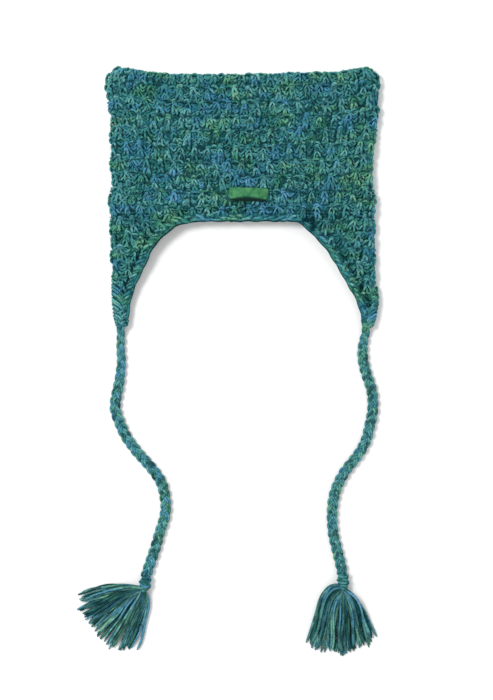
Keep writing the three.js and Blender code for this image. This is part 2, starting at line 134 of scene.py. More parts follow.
def sweep(lines, radius, up, sides=SIDES, dye_start=None):
    """Tubes along lines shaped (strands, points, 3), as vertices, quads, and places on the yarn.
    dye_start is where in the dyed length each strand begins, in metres."""
    lines = np.asarray(lines, float)
    count, length = lines.shape[:2]
    radius = np.broadcast_to(np.asarray(radius, float), (count, length))
    up = np.broadcast_to(np.asarray(up, float), lines.shape)
    along = unit(np.gradient(lines, axis=1))
    across = unit(np.cross(along, up))
    lift = np.cross(across, along)
    turn = np.arange(sides) * 2 * math.pi / sides
    ring = across[:, :, None] * np.cos(turn)[:, None] + lift[:, :, None] * np.sin(turn)[:, None]
    verts = (lines[:, :, None] + ring * radius[:, :, None, None]).reshape(-1, 3)
    rings = np.arange(count)[:, None] * length + np.arange(length - 1)
    first = rings.reshape(-1, 1) * sides
    k = np.arange(sides)[None]
    n = (k + 1) % sides
    quads = np.stack([first + k, first + n, first + n + sides, first + k + sides], axis=2).reshape(-1, 4)
    caps = []
    start = np.arange(count) * length * sides
    for q in range(sides // 2 - 1):
        near = np.stack([start, start + 2 * q + 3, start + 2 * q + 2, start + 2 * q + 1], axis=1)
        far = np.stack([start, start + 2 * q + 1, start + 2 * q + 2, start + 2 * q + 3], axis=1)
        caps += [near, far + (length - 1) * sides]
    quads = np.vstack([quads] + caps)
    steps = np.linalg.norm(np.diff(lines, axis=1), axis=2)
    run = np.concatenate([np.zeros((count, 1)), np.cumsum(steps, axis=1)], axis=1)
    run = run + (rng.uniform(0, 1, count) if dye_start is None else np.asarray(dye_start))[:, None]
    # The third place is the crest value, 1 on a strand's top and 0 under it: the materials paint a
    # highlight on the top and shade on the flanks from it.
    places = np.stack([
        np.repeat(run.reshape(-1), sides),
        np.tile(np.arange(sides) / sides, count * length),
        np.tile(0.5 + 0.5 * np.sin(turn), count * length),
    ], axis=1)
    return verts, quads, places

# %% [markdown]
# A piece is built from several such sweeps. The helper below joins them, writes the mesh in one
# go, and stores four numbers for the material: the place along the strand, the place around it,
# the crest, and a shade for each strand. It prints the size of each piece, to keep the model light.

# %% Make a piece from sweeps
def store(mesh, **numbers):
    """Store a number for each point under each name, for the materials to read."""
    for name, values in numbers.items():
        layer = mesh.attributes.new(name, "FLOAT", "POINT")
        layer.data.foreach_set("value", np.asarray(values, np.float32).ravel())


def yarn_mesh(name, parts, shades):
    """One mesh from several sweeps, with the yarn's places and a shade for each sweep's strands."""
    starts = np.cumsum([0] + [len(part[0]) for part in parts])
    verts = np.vstack([part[0] for part in parts]).astype(np.float32)
    quads = np.vstack([part[1] + start for part, start in zip(parts, starts)]).astype(np.int32)
    places = np.vstack([part[2] for part in parts])
    tones = [np.repeat(shade, len(part[0]) // len(shade)) for part, shade in zip(parts, shades)]
    mesh = bpy.data.meshes.new(name)
    mesh.vertices.add(len(verts))
    mesh.vertices.foreach_set("co", verts.ravel())
    mesh.loops.add(quads.size)
    mesh.loops.foreach_set("vertex_index", quads.ravel())
    mesh.polygons.add(len(quads))
    mesh.polygons.foreach_set("loop_start", np.arange(0, quads.size, 4, dtype=np.int32))
    mesh.polygons.foreach_set("loop_total", np.full(len(quads), 4, dtype=np.int32))
    mesh.polygons.foreach_set("use_smooth", np.ones(len(quads), dtype=bool))
    mesh.update(calc_edges=True)
    along, around, crest = places.T
    store(mesh, along=along, around=around, crest=crest, shade=np.concatenate(tones))
    print(f"{name}: {2 * len(quads)} triangles")
    return add_object(name, mesh)

# %% [markdown]
# ## The ties
# Each tie is a three strand plait. In a plait every strand swings from side to side in turn, and
# dips under its neighbours twice in each swing. Two sine waves give just that line: one across,
# one up and down at twice the rate. Each strand is a pair of yarns laid side by side. The ties
# come first, because their real length and route are fixed by the solids that they lie on.

# %% The ties' routes
TIE_LEVEL = 4.5 * MM
TIE_START = {"left": (-121.8, -130.9), "right": (123.6, -130.9)}
TIE_ROUTE = {
    "left": [
        (0, 0), (0, -8), (-0.3, -20), (0.5, -34), (-0.5, -46), (-1.5, -54), (-3.5, -64), (-5.5, -75),
        (-5.5, -82), (-3.5, -89), (-0.5, -97), (3, -105), (7, -112), (11.5, -118), (16.5, -124.5),
        (22, -130.5), (27, -136), (32, -142), (36.5, -148), (40.5, -155), (43, -163), (44.5, -172),
        (45, -180), (43.8, -190), (41, -199), (38.5, -207), (35.8, -217), (32.5, -227), (29.4, -236),
        (26.6, -244), (25.2, -249.5),
    ],
    "right": [
        (0, 0), (0, -5), (-1.8, -12), (-3.2, -21), (-2.8, -31), (-1.3, -39), (0.7, -46), (3.5, -54),
        (6, -62), (7.2, -71), (7.2, -81), (5.7, -91), (3.7, -99), (2, -107), (-0.8, -115), (-5, -123),
        (-9.3, -129.5), (-15, -136.5), (-20, -143), (-24, -149.5), (-27.3, -156), (-30.2, -163),
        (-32, -170), (-33.3, -178), (-33.8, -188), (-33.3, -198), (-32.2, -208), (-30.3, -216),
        (-27.8, -226), (-25.3, -236), (-23.3, -246),
    ],
}


def tie_path(side, count):
    """The middle line of a tie on the table, in metres."""
    x0, y0 = TIE_START[side]
    points = [((x0 + x) * MM, (y0 + y) * MM, TIE_LEVEL) for x, y in TIE_ROUTE[side]]
    return smooth_line(points, count)


def line_length(line):
    return float(np.linalg.norm(np.diff(line, axis=0), axis=1).sum())


for side in ("left", "right"):
    print(f"tie_{side}: {line_length(tie_path(side, 400)) / MM:.1f} mm long")

# %% Plait the ties
PLAIT_REPEAT = 24 * MM
PLAIT_SWING = 3.25 * MM
PLAIT_DIP = 1.7 * MM
PAIR_GAP = 1.1 * MM
YARN_RADIUS = 1.32 * MM
PLAIT_STEPS = 180
THIN_START = {"left": 60 * MM, "right": 25 * MM}
THINNEST = 0.66
SHADE_SPREAD = 0.004


def plait(side):
    """Six yarns: three strands of two, swinging and dipping along the tie's route."""
    path = tie_path(side, PLAIT_STEPS)
    run = np.linspace(0, line_length(path), PLAIT_STEPS)
    along = unit(np.gradient(path, axis=0))
    across = np.stack([-along[:, 1], along[:, 0], np.zeros(PLAIT_STEPS)], axis=1)
    full = THINNEST + (1 - THINNEST) * np.clip(run / THIN_START[side], 0, 1) ** 1.5
    lines = []
    for strand in range(3):
        phase = 2 * math.pi * (run / PLAIT_REPEAT + strand / 3)
        out = PLAIT_SWING * np.sin(phase) * full
        up = PLAIT_DIP * np.sin(2 * phase)
        tilt = np.arctan(np.gradient(out, run))
        for yarn in (-1, 1):
            apart = yarn * PAIR_GAP * full
            wobble = 0.12 * MM * np.sin(run / (5.3 * MM) + 2.1 * strand + yarn)
            line = path + across * (out + apart * np.cos(tilt) + wobble)[:, None]
            line = line - along * (apart * np.sin(tilt))[:, None]
            line[:, 2] = TIE_LEVEL - 0.5 * MM + up + wobble
            lines.append(line)
    return np.array(lines), full


ties = {}
for side in ("left", "right"):
    lines, full = plait(side)
    pair_start, pair_shade = np.repeat(rng.uniform(0, 1, (2, 3)), 2, axis=1)
    part = sweep(lines, YARN_RADIUS * (0.9 + 0.1 * full), (0, 0, 1), dye_start=pair_start)
    ties[side] = yarn_mesh(f"plait_{side}", [part], [pair_shade + rng.normal(0, SHADE_SPREAD, 6)])

# %% [markdown]
# ## Knots
# Below each plait the yarn is wound round the bundle and pulled tight. A torus for each turn would
# look too neat. Two screw lines that lean opposite ways cross each other as on the real knot, and a
# straight core fills the middle.

# %% Wind the knots
KNOT_LENGTH = {"left": 12.5 * MM, "right": 16 * MM}
KNOT_LEAN = {"left": -7, "right": 3}
KNOT_RADIUS = 4.7 * MM
KNOT_LEVEL = 6.2 * MM
KNOT_YARN = 1.35 * MM
CORE_SHADE = 0.3
KNOT_WRAPS = {
    # for each winding: lean, first angle, swell, turns
    "left": ((2.4 * MM, 0.3, 0.94, 2.3), (-2.6 * MM, 1.9, 1.12, 1.7)),
    "right": ((1.0 * MM, 0.0, 0.9, 4.6), (-2.6 * MM, 1.6, 1.12, 2.1)),
}


def headed(angle):
    """The level direction at an angle in degrees from straight down, positive to the right."""
    return np.array([math.sin(math.radians(angle)), -math.cos(math.radians(angle)), 0.0])


def knot_frame(side):
    """Where a knot starts, and the way that it lies."""
    end = tie_path(side, 50)[-1].copy()
    end[2] = KNOT_LEVEL
    return end, headed(KNOT_LEAN[side])


def knot(side):
    """Two crossing windings round a core."""
    start, way = knot_frame(side)
    across = np.array([way[1], -way[0], 0])
    s = np.linspace(0, 1, 90)
    parts = []
    for lean, offset, swell, turns in KNOT_WRAPS[side]:
        turn = 2 * math.pi * turns * s + offset
        radius = KNOT_RADIUS * swell * (0.86 + 0.14 * np.sin(math.pi * s))
        forward = KNOT_LENGTH[side] * (0.08 + 0.84 * s) + lean * np.sin(turn)
        middle = start + forward[:, None] * way
        line = middle + (radius * np.cos(turn))[:, None] * across
        line[:, 2] = np.maximum(line[:, 2] + radius * np.sin(turn), KNOT_YARN * 1.05)
        parts.append(sweep([line], KNOT_YARN, [line - middle]))
    core = start + np.linspace(-0.02, 1.02, 30)[:, None] * KNOT_LENGTH[side] * way
    parts.append(sweep([core], KNOT_RADIUS * 0.86, (0, 0, 1), sides=8))
    shades = [rng.uniform(0, 1, 1), rng.uniform(0, 1, 1), [CORE_SHADE]]
    return yarn_mesh(f"knot_wraps_{side}", parts, shades)


knots = {side: knot(side) for side in ("left", "right")}

# %% [markdown]
# ## Tassels
# A tassel is some eighty loose strands that leave the knot together, bow outwards and come down to
# the table. Blender's hair could grow them, but its curves are hard to lay by eye. The photo shows
# the left tassel thrown over to its side and the right one spread below its knot, so a short table
# gives the fan, for nine places across it: the angle in which a strand leaves the knot, the angle
# in which it arrives, the angle to its tip, its length, and how far it bulges at first. Every
# strand lies between two rows of it. Tips gather in locks, a few stray, and each strand curls.

# %% The fans of the tassels
TASSEL_STRANDS = 84
TASSEL_STEPS = 24
LAYERS = 5
LOCKS = 15
LOCK_PULL = 0.48
TASSEL_YARN = 1.22 * MM
TASSEL_HEIGHT = 11.5 * MM
ROOT_WIDTH = 5.4
ROOT_HEIGHT = 5.5
FAN = {
    "left": [
        (-104, -67, -85.5, 65.5, 0.50), (-98, -68, -77, 70, 0.46), (-88, -62, -68.5, 70, 0.42),
        (-76, -54, -58, 66, 0.38), (-60, -42, -47, 66.5, 0.36), (-38, -30, -35, 70, 0.36),
        (-12, -20, -24, 67, 0.36), (24, -16, -15.5, 64.5, 0.30), (62, -22, -9.5, 62, 0.24),
    ],
    "right": [
        (-119, -22, -35.5, 66.5, 0.54), (-104, -20, -30, 67.5, 0.46), (-72, -14, -24, 68.5, 0.38),
        (-42, -6, -13, 66.5, 0.36), (-12, -1, -2, 68, 0.34), (20, 4, 7, 64, 0.34),
        (46, 12, 16, 63, 0.36), (68, 22, 26, 64, 0.38), (90, 32, 35.5, 60, 0.40),
    ],
}
STRANDS_PER_RUN = 3
STRAYS = 0.1
SWING = 2.0
STRAY_SWING = 4.2
TASSEL_CURL = 1.4 * MM

# %% One strand of a tassel
def fan_row(side, share):
    """The fan's five values at a place across it."""
    rows = np.array(FAN[side])
    at = np.clip(share, 0, 1) * (len(rows) - 1)
    return [np.interp(at, np.arange(len(rows)), column) for column in rows.T]


def tassel_line(side, share, lock, layer):
    """One strand. share is its place across the fan, lock the place of its neighbours' tips, and
    layer 0 lies on the table and layer 1 on top."""
    leave, arrive, swing, length, bulge = fan_row(side, share)
    lock_swing, lock_length = fan_row(side, lock)[2:4]
    stray = STRAY_SWING if rng.uniform() < STRAYS else SWING
    swing = (1 - LOCK_PULL) * swing + LOCK_PULL * lock_swing + rng.normal(0, stray)
    length = (0.5 * length + 0.5 * lock_length) * MM * (1 - 0.07 * layer) * rng.normal(1, 0.025)
    start, way = knot_frame(side)
    across = np.array([way[1], -way[0], 0])
    root = start + way * KNOT_LENGTH[side] * 0.92 + across * ROOT_WIDTH * MM * (share - 0.5)
    root[2] = KNOT_LEVEL + (layer - 0.5) * ROOT_HEIGHT * MM
    first = root + headed(leave + rng.normal(0, 6)) * length * bulge * rng.uniform(0.82, 1.08)
    tip = root + headed(swing) * length
    second = tip - headed(arrive + rng.normal(0, 5)) * length * rng.uniform(0.34, 0.42)
    first[2] = TASSEL_YARN + (TASSEL_HEIGHT - TASSEL_YARN) * (0.1 + 0.95 * layer)
    second[2] = TASSEL_YARN + (TASSEL_HEIGHT - TASSEL_YARN) * (0.04 + 0.62 * layer)
    tip[2] = TASSEL_YARN * (1.0 + 3.0 * layer * rng.uniform(0.3, 1.0))
    s = np.linspace(0, 1, TASSEL_STEPS)[:, None]
    line = ((1 - s) ** 3 * root + 3 * s * (1 - s) ** 2 * first
            + 3 * s ** 2 * (1 - s) * second + s ** 3 * tip)
    size = TASSEL_CURL * rng.uniform(0.5, 1.2)
    wave = size * np.sin(s * rng.uniform(4, 10) + rng.uniform(0, 6)) * s ** 0.8
    line = line + wave * np.array([-headed(swing)[1], headed(swing)[0], 0.25])
    line[:, 2] = np.maximum(line[:, 2], TASSEL_YARN * 1.1)
    return line

# %% Hang the tassels
def tassel(side):
    """All the strands of a tassel, thinner at the root and at the tip."""
    lines = []
    locks = (np.arange(LOCKS) + rng.uniform(0.2, 0.8, LOCKS)) / LOCKS
    for k in range(TASSEL_STRANDS):
        layer = (k % LAYERS) / (LAYERS - 1)
        share = (k + rng.uniform(0, 1)) / TASSEL_STRANDS
        lock = locks[np.argmin(np.abs(locks - share))]
        lines.append(tassel_line(side, share, lock, layer))
    thick = TASSEL_YARN * rng.uniform(0.86, 1.12, (TASSEL_STRANDS, 1)) * np.ones(TASSEL_STEPS)
    thick[:, -3:] *= np.array([1.0, 0.85, 0.45])
    thick[:, 0] *= 0.8
    runs = rng.uniform(0, 1, (2, TASSEL_STRANDS // STRANDS_PER_RUN))
    spread = rng.normal(0, SHADE_SPREAD, (2, TASSEL_STRANDS))
    starts, shades = np.repeat(runs, STRANDS_PER_RUN, axis=1) + spread
    part = sweep(lines, thick, (0, 0, 1), dye_start=starts)
    return yarn_mesh(f"tassel_strands_{side}", [part], [shades])


tassels = {side: tassel(side) for side in ("left", "right")}

# %% [markdown]
# ## Measuring the solids
# The stitches have to lie on the cloth that the solids describe, over the side folds and the top
# edge as well. Rays measure it: level rays find the folds on both sides and the top edge, and
# rays from above find the height. A plain shrinkwrap would do for the top, but it can't say which
# stitch goes round a fold to the back. With the folds known, any place on the cloth has two
# numbers: how far it is across from the left fold, and how far it is down from the top fold.

# %% Rays on the solids
def tree_of(*names):
    """A ray tree over CAD nodes."""
    verts, faces = [], []
    for name in names:
        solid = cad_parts[name]
        base = len(verts)
        verts += [solid.matrix_world @ v.co for v in solid.data.vertices]
        faces += [[base + k for k in face.vertices] for face in solid.data.polygons]
    return BVHTree.FromPolygons(verts, faces)


CLOTH_NODES = ("crown", "ear_flap_left", "ear_flap_right", "edging_front", "edging_back")
cloth = tree_of(*CLOTH_NODES)
FOLD = 6 * MM
TIP_FOLD = 5.2 * MM
FLAP_TOP = -24.5 * MM
FAR = 0.4
hat_low, hat_high = np.array(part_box("crown"))
tip_y = float(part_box("ear_flap_left")[0][1])
ys = np.arange(tip_y + 0.5 * MM, hat_high[1] - 0.3 * MM, 1 * MM)


def fold_radius(y):
    """Half the thickness of the folded cloth, which gets thinner down the flaps."""
    return np.interp(y, [tip_y, FLAP_TOP], [TIP_FOLD, FOLD])


def side_hit(y, sign):
    """Where a level ray from the left, -1, or from the right, 1, meets the fold."""
    hit = cloth.ray_cast(Vector((sign * FAR, y, float(fold_radius(y)))), Vector((-sign, 0, 0)))[0]
    return hit.x if hit is not None else 0.0


left_fold, right_fold = (np.array([side_hit(y, sign) for y in ys]) for sign in (-1, 1))
xs = np.arange(hat_low[0] + 0.5 * MM, hat_high[0] - 0.3 * MM, 1 * MM)
top_hits = [cloth.ray_cast(Vector((x, FAR, FOLD)), Vector((0, -1, 0)))[0] for x in xs]
top_fold = np.array([hit.y for hit in top_hits])
print("fold to fold at mid crown, mm:", round((right_fold - left_fold)[len(ys) * 3 // 4] / MM, 1))

# %% [markdown]
# The heights come from a grid of rays from above. The thin seams between the solids would show as
# deep slots, so no height may lie much under the highest of its neighbours, and a place with no
# cloth takes that height too.

# %% Height of the upper layer
GRID = 2 * MM
SEAM_SLACK = 1.2 * MM
grid_x = np.arange(-140, 141, 2) * MM
grid_y = np.arange(-134, 133, 2) * MM
height = np.zeros((len(grid_y), len(grid_x)))
for j, y in enumerate(grid_y):
    for i, x in enumerate(grid_x):
        hit = cloth.ray_cast(Vector((x, y, 0.1)), Vector((0, 0, -1)))[0]
        height[j, i] = hit.z if hit is not None else 0.0
padded = np.pad(height, 1, mode="edge")
tall, wide = height.shape
near_by = [padded[dj:dj + tall, di:di + wide] for dj in range(3) for di in range(3)]
highest = np.max(near_by, axis=0)
height = np.where(height > 0, np.maximum(height, highest - SEAM_SLACK), highest)
print("highest place on the cloth, mm:", round(height.max() / MM, 1))


def read_height(x, y):
    """The upper layer's height at a place, between the grid's points."""
    u = np.clip((x - grid_x[0]) / GRID, 0, len(grid_x) - 1.001)
    v = np.clip((y - grid_y[0]) / GRID, 0, len(grid_y) - 1.001)
    i, j = u.astype(int), v.astype(int)
    u, v = u - i, v - j
    low = height[j, i] * (1 - u) + height[j, i + 1] * u
    high = height[j + 1, i] * (1 - u) + height[j + 1, i + 1] * u
    return low * (1 - v) + high * v

# %% [markdown]
# Round a fold the cloth turns through half a circle, so a step along the cloth is not the same
# step across the table. The helper below rolls a distance over that quarter circle. A negative
# distance has gone over the fold and is on the back. The same holds for the top edge.

# %% Places on the cloth
QUARTER = FOLD * math.pi / 2
STEEPEST = 0.5
FIRST_WIDTH = 0.25


def roll(distance):
    """For a distance along the cloth from a fold: the distance in plan, the lift and the lean."""
    turn = np.clip(distance / FOLD, 0, math.pi / 2)
    flat = np.maximum(distance - QUARTER, 0)
    return FOLD * (1 - np.cos(turn)) + flat, np.sin(turn), np.cos(turn)


def cloth_width(y):
    """How wide the upper layer is along the cloth, from fold to fold."""
    return np.interp(y, ys, right_fold) - np.interp(y, ys, left_fold) + 2 * (QUARTER - FOLD)


def on_cloth(share, down, front):
    """Places and outward directions on the cloth. share runs from the left fold, 0, to the right
    fold, 1. down is the distance from the top fold along the cloth. front is 1 or -1."""
    share, down, front = np.broadcast_arrays(share, down, front)
    front = np.where((share < 0) | (share > 1), -front, front)
    front = np.where(down < 0, -front, front)
    share = np.where(share < 0, -share, np.where(share > 1, 2 - share, share))
    below, top_lift, top_lean = roll(np.abs(down))
    x = (share - 0.5) * FIRST_WIDTH
    for _ in range(4):
        y = np.interp(x, xs, top_fold) - below
        wide = cloth_width(y)
        from_left = share * wide
        left_plan, left_lift, left_lean = roll(from_left)
        right_plan, right_lift, right_lean = roll(wide - from_left)
        x = np.where(
            from_left < wide / 2,
            np.interp(y, ys, left_fold) + left_plan,
            np.interp(y, ys, right_fold) - right_plan,
        )
    lift = np.minimum(left_lift, right_lift) * top_lift
    half = fold_radius(y)
    top = np.maximum(read_height(x, y), 2 * half * 0.96)
    z = np.where(front > 0, half + (top - half) * lift, half - half * lift)
    rise_x = (read_height(x + GRID, y) - read_height(x - GRID, y)) / (2 * GRID)
    rise_y = (read_height(x, y + GRID) - read_height(x, y - GRID)) / (2 * GRID)
    flat = (lift > 0.97) & (front > 0)
    out = np.stack([
        np.where(flat, -np.clip(rise_x, -STEEPEST, STEEPEST), 0) + right_lean - left_lean,
        np.where(flat, -np.clip(rise_y, -STEEPEST, STEEPEST), 0) + top_lean,
        front * np.maximum(lift, 0.02),
    ], axis=-1)
    return np.stack([x, y, z], axis=-1), unit(out)

# %% [markdown]
# ## The stitch
# Seen close, one stitch of this hat is a small chart of strands. Two roofs stand one above the
# other, where the hook drew the yarn through, each with a strand in its core. A head and a collar
# lie over their top. Between one stitch and the next the yarn sags in three swags under a rim, and
# behind those a bar lies deep in a dark hole. Rows are set half a stitch to the side of each
# other, like bricks. Such a surface could also be a displaced plane, but then no strand passes over
# another. The chart holds each strand as the steps it is swept in and a few points in millimetres:
# across from the stitch's middle, down from its top, and out from the cloth.

# %% The chart of one stitch
STITCHES_ACROSS = 20
ROW = 15.2 * MM
CHART_WIDTH = 13.7
CHART_MIDDLE = 7 * MM
FIRST_ROW = 0.6 * MM
CHART = {
    "head": (8, [(-2.3, 2.0, -1.0), (-1.7, 0.4, 0.7), (0.0, -0.6, 1.5), (1.7, 0.4, 0.7),
        (2.3, 2.0, -1.0)]),
    "collar": (7, [(-2.6, 3.6, -0.6), (-1.5, 2.0, 0.9), (0.0, 1.5, 1.3), (1.5, 2.0, 0.9),
        (2.6, 3.6, -0.6)]),
    "upper_roof": (11, [(-2.7, 10.0, -0.9), (-2.5, 8.2, 1.5), (-1.7, 5.4, 2.4), (0.0, 2.9, 1.2),
        (1.7, 5.4, 2.4), (2.5, 8.2, 1.5), (2.7, 10.0, -0.9)]),
    "lower_roof": (11, [(-2.9, 15.6, -0.9), (-2.6, 13.6, 1.5), (-1.8, 11.0, 2.4), (0.0, 8.4, 1.2),
        (1.8, 11.0, 2.4), (2.6, 13.6, 1.5), (2.9, 15.6, -0.9)]),
    "upper_core": (5, [(0.1, 4.6, -0.8), (-0.3, 7.0, 1.0), (0.2, 9.6, -0.8)]),
    "lower_core": (5, [(0.1, 10.4, -0.8), (0.3, 12.8, 0.9), (-0.2, 15.4, -0.9)]),
    "upper_swag": (8, [(2.4, 2.6, -0.8), (4.4, 4.2, 0.5), (6.85, 6.6, -0.1), (9.3, 4.2, 0.5),
        (11.3, 2.6, -0.8)]),
    "middle_swag": (8, [(2.8, 5.8, -1.0), (4.6, 7.2, 0.4), (6.85, 9.6, -0.1), (9.1, 7.2, 0.4),
        (10.9, 5.8, -1.0)]),
    "lower_swag": (8, [(3.0, 9.2, -1.0), (4.7, 10.4, 0.2), (6.85, 12.6, -0.3), (9.0, 10.4, 0.2),
        (10.7, 9.2, -1.0)]),
    "rim": (6, [(1.8, 1.6, -1.1), (4.2, 0.6, 0.2), (6.85, -0.6, 0.2), (9.5, 0.6, 0.2), (11.9, 1.6, -1.1)]),
    "deep_bar": (4, [(3.0, 1.6, -1.6), (6.85, 3.6, -0.9), (10.7, 2.4, -1.6)]),
}
TOP_ROW_LIFT = {"head": -0.7 * MM, "rim": 1.3 * MM}
BETWEEN_STITCHES = ("upper_swag", "middle_swag", "lower_swag", "rim", "deep_bar")
STITCH_YARN = 1.14 * MM
CREST = 2.6 * MM
print("strands in one stitch:", len(CHART))

# %% [markdown]
# Hand work is never even, so each stitch is turned, stretched and moved a little, and each point
# of each strand again. The strands of the crown and of the flaps come from the same rows, and a
# strand belongs to the piece whose cloth it lies on. Where the flaps have no cloth, none is made.

# %% Whose strand is it
brim_y = float(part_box("edging_front")[1][1])
BRAID_START = {-1: -88 * MM, 1: -113 * MM}
EDGE_MARGIN = {-1: 4.4 * MM, 1: 3.0 * MM}
HEAD_MIDDLE_Y = -0.09
layer_tree = {
    1: tree_of("ear_flap_left", "ear_flap_right", "edging_front"),
    -1: tree_of("ear_flap_left", "ear_flap_right", "edging_back"),
}


def on_flap(place, front, margin):
    """Whether a place is on a flap and no nearer than the margin to the flap's free edge."""
    x, y = float(place[0]), float(place[1])
    edge = min(x - np.interp(y, ys, left_fold), np.interp(y, ys, right_fold) - x)
    toward = Vector((-x, HEAD_MIDDLE_Y - y))
    toward.normalize()
    start = Vector((x + toward.x * margin, y + toward.y * margin, 0.1 * front))
    return edge < FOLD or layer_tree[front].ray_cast(start, Vector((0, 0, -front)))[0] is not None


def owner(strand, front):
    """The piece that a strand belongs to, or None where there is no cloth under it."""
    middle = strand[len(strand) // 2]
    if middle[1] > brim_y:
        return "crown_front" if front > 0 else "crown_back"
    side = -1 if middle[0] < 0 else 1
    margin = EDGE_MARGIN[side]
    ends = all(on_flap(place, front, 0.6 * margin) for place in strand[::len(strand) - 1])
    if middle[1] < BRAID_START[side] or not ends or not on_flap(middle, front, margin):
        return None
    return "flap_left" if middle[0] < 0 else "flap_right"

# %% Lay the stitches
TURN, STRETCH, SHIFT, TONE_SPREAD = 0.14, 0.06, 0.45, 0.16
WOBBLE = 0.55 * MM
rows_in_all = int(math.ceil((hat_high[1] - tip_y) / ROW)) + 1
laid = {}


def lay_row(row, front):
    """Lay one row of stitches on the front, 1, or the back, -1."""
    half_step = 0.5 * (row % 2)
    for column in range(STITCHES_ACROSS + 1 - (row % 2)):
        centre = column + half_step
        if front < 0 and centre in (0, STITCHES_ACROSS):
            continue
        turn = rng.normal(0, TURN)
        stretch = rng.normal(1, STRETCH, 2)
        shift = rng.normal(0, SHIFT, 2)
        tone = rng.uniform(0, 1)
        for name, (steps, points) in CHART.items():
            if name in BETWEEN_STITCHES and centre + 1 > STITCHES_ACROSS + 0.5:
                continue
            line = smooth_line(np.array(points) * MM, steps)
            line = line + smooth_line(rng.normal(0, WOBBLE, (4, 3)), steps)
            u, v = line[:, 0] * stretch[0], (line[:, 1] - CHART_MIDDLE) * stretch[1]
            across = u * math.cos(turn) - v * math.sin(turn) + shift[0] * MM
            downward = v * math.cos(turn) + u * math.sin(turn) + shift[1] * MM + CHART_MIDDLE
            share = (centre + across / (CHART_WIDTH * MM)) / STITCHES_ACROSS
            down = row * ROW + downward + FIRST_ROW
            outward = line[:, 2] + (TOP_ROW_LIFT.get(name, 0) if row == 0 else 0)
            strand_tone = tone + rng.normal(0, TONE_SPREAD)
            laid.setdefault(name, []).append((share, down, front, outward, strand_tone))


for row in range(rows_in_all):
    for front in (1, -1):
        lay_row(row, front)
print("strands laid:", sum(len(strands) for strands in laid.values()))

# %% [markdown]
# At the mouth's right corner the photo shows a slit between the stitches and the edging, almost
# black. The yarn near it gets a lower crest value, which the material reads as shade.

# %% The dark slit at the mouth's corner
DARK_SLIT = np.array([(61.5, -24.2), (65.5, -24.2), (69.5, -25), (71, -28), (70, -32)]) * MM
SLIT_GLOOM = -1.2
SLIT_REACH = 2.9 * MM


def slit_gloom(places):
    """How much darker the yarn is near the dark slit, for each place."""
    off = places[..., None, :2] - DARK_SLIT
    nearest = np.linalg.norm(off, axis=-1).min(axis=-1)
    return SLIT_GLOOM * np.exp(-(nearest / SLIT_REACH) ** 4)

# %% [markdown]
# Now the charts become yarn. Each strand is set on the cloth, sunk by the height of its crest, kept
# above the table, and made a little thicker in its middle than where it dives under. Strands that
# lie deep get painted shade, and those that stand out a painted highlight.

# %% Turn the chart into yarn on the cloth
sweeps = {}


def add_part(piece, part, painted_light, tones):
    """Keep a sweep for a piece. Its third argument is painted light and shade, added to the crest value at
    each point of its lines.
    """
    part[2][:, 2] += np.repeat(np.asarray(painted_light).ravel(), SIDES)
    sweeps.setdefault(piece, []).append((part, np.asarray(tones)))


for name, strands in laid.items():
    share, down, side_of_hat, outward, tone = (np.array(column) for column in zip(*strands))
    front = side_of_hat[:, None] * np.ones_like(share)
    tone = np.clip(tone, 0, 1)
    place, normal = on_cloth(share, down, front)
    line = place + normal * (outward - CREST)[..., None]
    line[..., 2] = np.maximum(line[..., 2], STITCH_YARN)
    owners = np.array([owner(*pair) or "" for pair in zip(place, side_of_hat)])
    swell = 1 + 0.12 * np.sin(np.linspace(0, math.pi, share.shape[1]))
    thick = STITCH_YARN * rng.normal(1, 0.12, (len(strands), 1)) * swell
    thick[:, [0, -1]] *= 0.6
    thick = np.minimum(thick, line[..., 2])
    # Painted light: chart points that stand out from the cloth get a painted highlight, points that lie
    # deep get painted shade, and the slit's painted shade is added.
    painted_depth_light = np.clip(0.14 * (outward / MM - 1.0), -0.3, 0.16) + slit_gloom(line)
    for piece in ("crown_front", "crown_back", "flap_left", "flap_right"):
        mine = owners == piece
        if mine.any():
            part = sweep(line[mine], thick[mine], normal[mine])
            add_part(piece, part, painted_depth_light[mine], tone[mine])

# %% [markdown]
# The hat is drawn closed along its top edge. One yarn runs through the stitches there, deep in the
# fold, and stops the light from shining through between the first row and the cloth. Lying deep, it
# is darkened with painted shade.

# %% The yarn in the top fold
SEAM_STEPS = 240
# Painted shade on the deep yarn in the fold.
SEAM_PAINTED_SHADE = -0.35
SEAM_SHADE = 0.3

seam_share = np.linspace(0.004, 0.996, SEAM_STEPS)
place, normal = on_cloth(seam_share, np.zeros(SEAM_STEPS), 1)
seam = sweep([place - normal * CREST], STITCH_YARN, [normal], dye_start=[0.2])
add_part("crown_front", seam, np.full(SEAM_STEPS, SEAM_PAINTED_SHADE), [SEAM_SHADE])
print("yarn in the top fold, mm:", round(line_length(place) / MM))

# %% [markdown]
# The last few centimetres of each flap are narrower than two stitches. There the photo shows a
# fishbone: strands that slant down from both sides to a middle line. The ones from the outer side
# are laid here, in pairs, over the front and the back. The edging brings the ones from the inside.
# A few turns round the tip close the flap, and three strands run on from it into the tie.

# %% The fishbone at the flaps' tips
BONE_PITCH = 7.0 * MM
BONE_YARN = 1.45 * MM
BONE_STEPS = 11
TIP_WIDTH = 11.5 * MM
TIP_TURNS = 3
TIP_LEVELS = ((2.2 * MM, -1), (8.6 * MM, 1))
BRIDGE_OFFSETS = (-2.6 * MM, 0.1 * MM, 2.7 * MM)
BRIDGE_LENGTH = 13 * MM


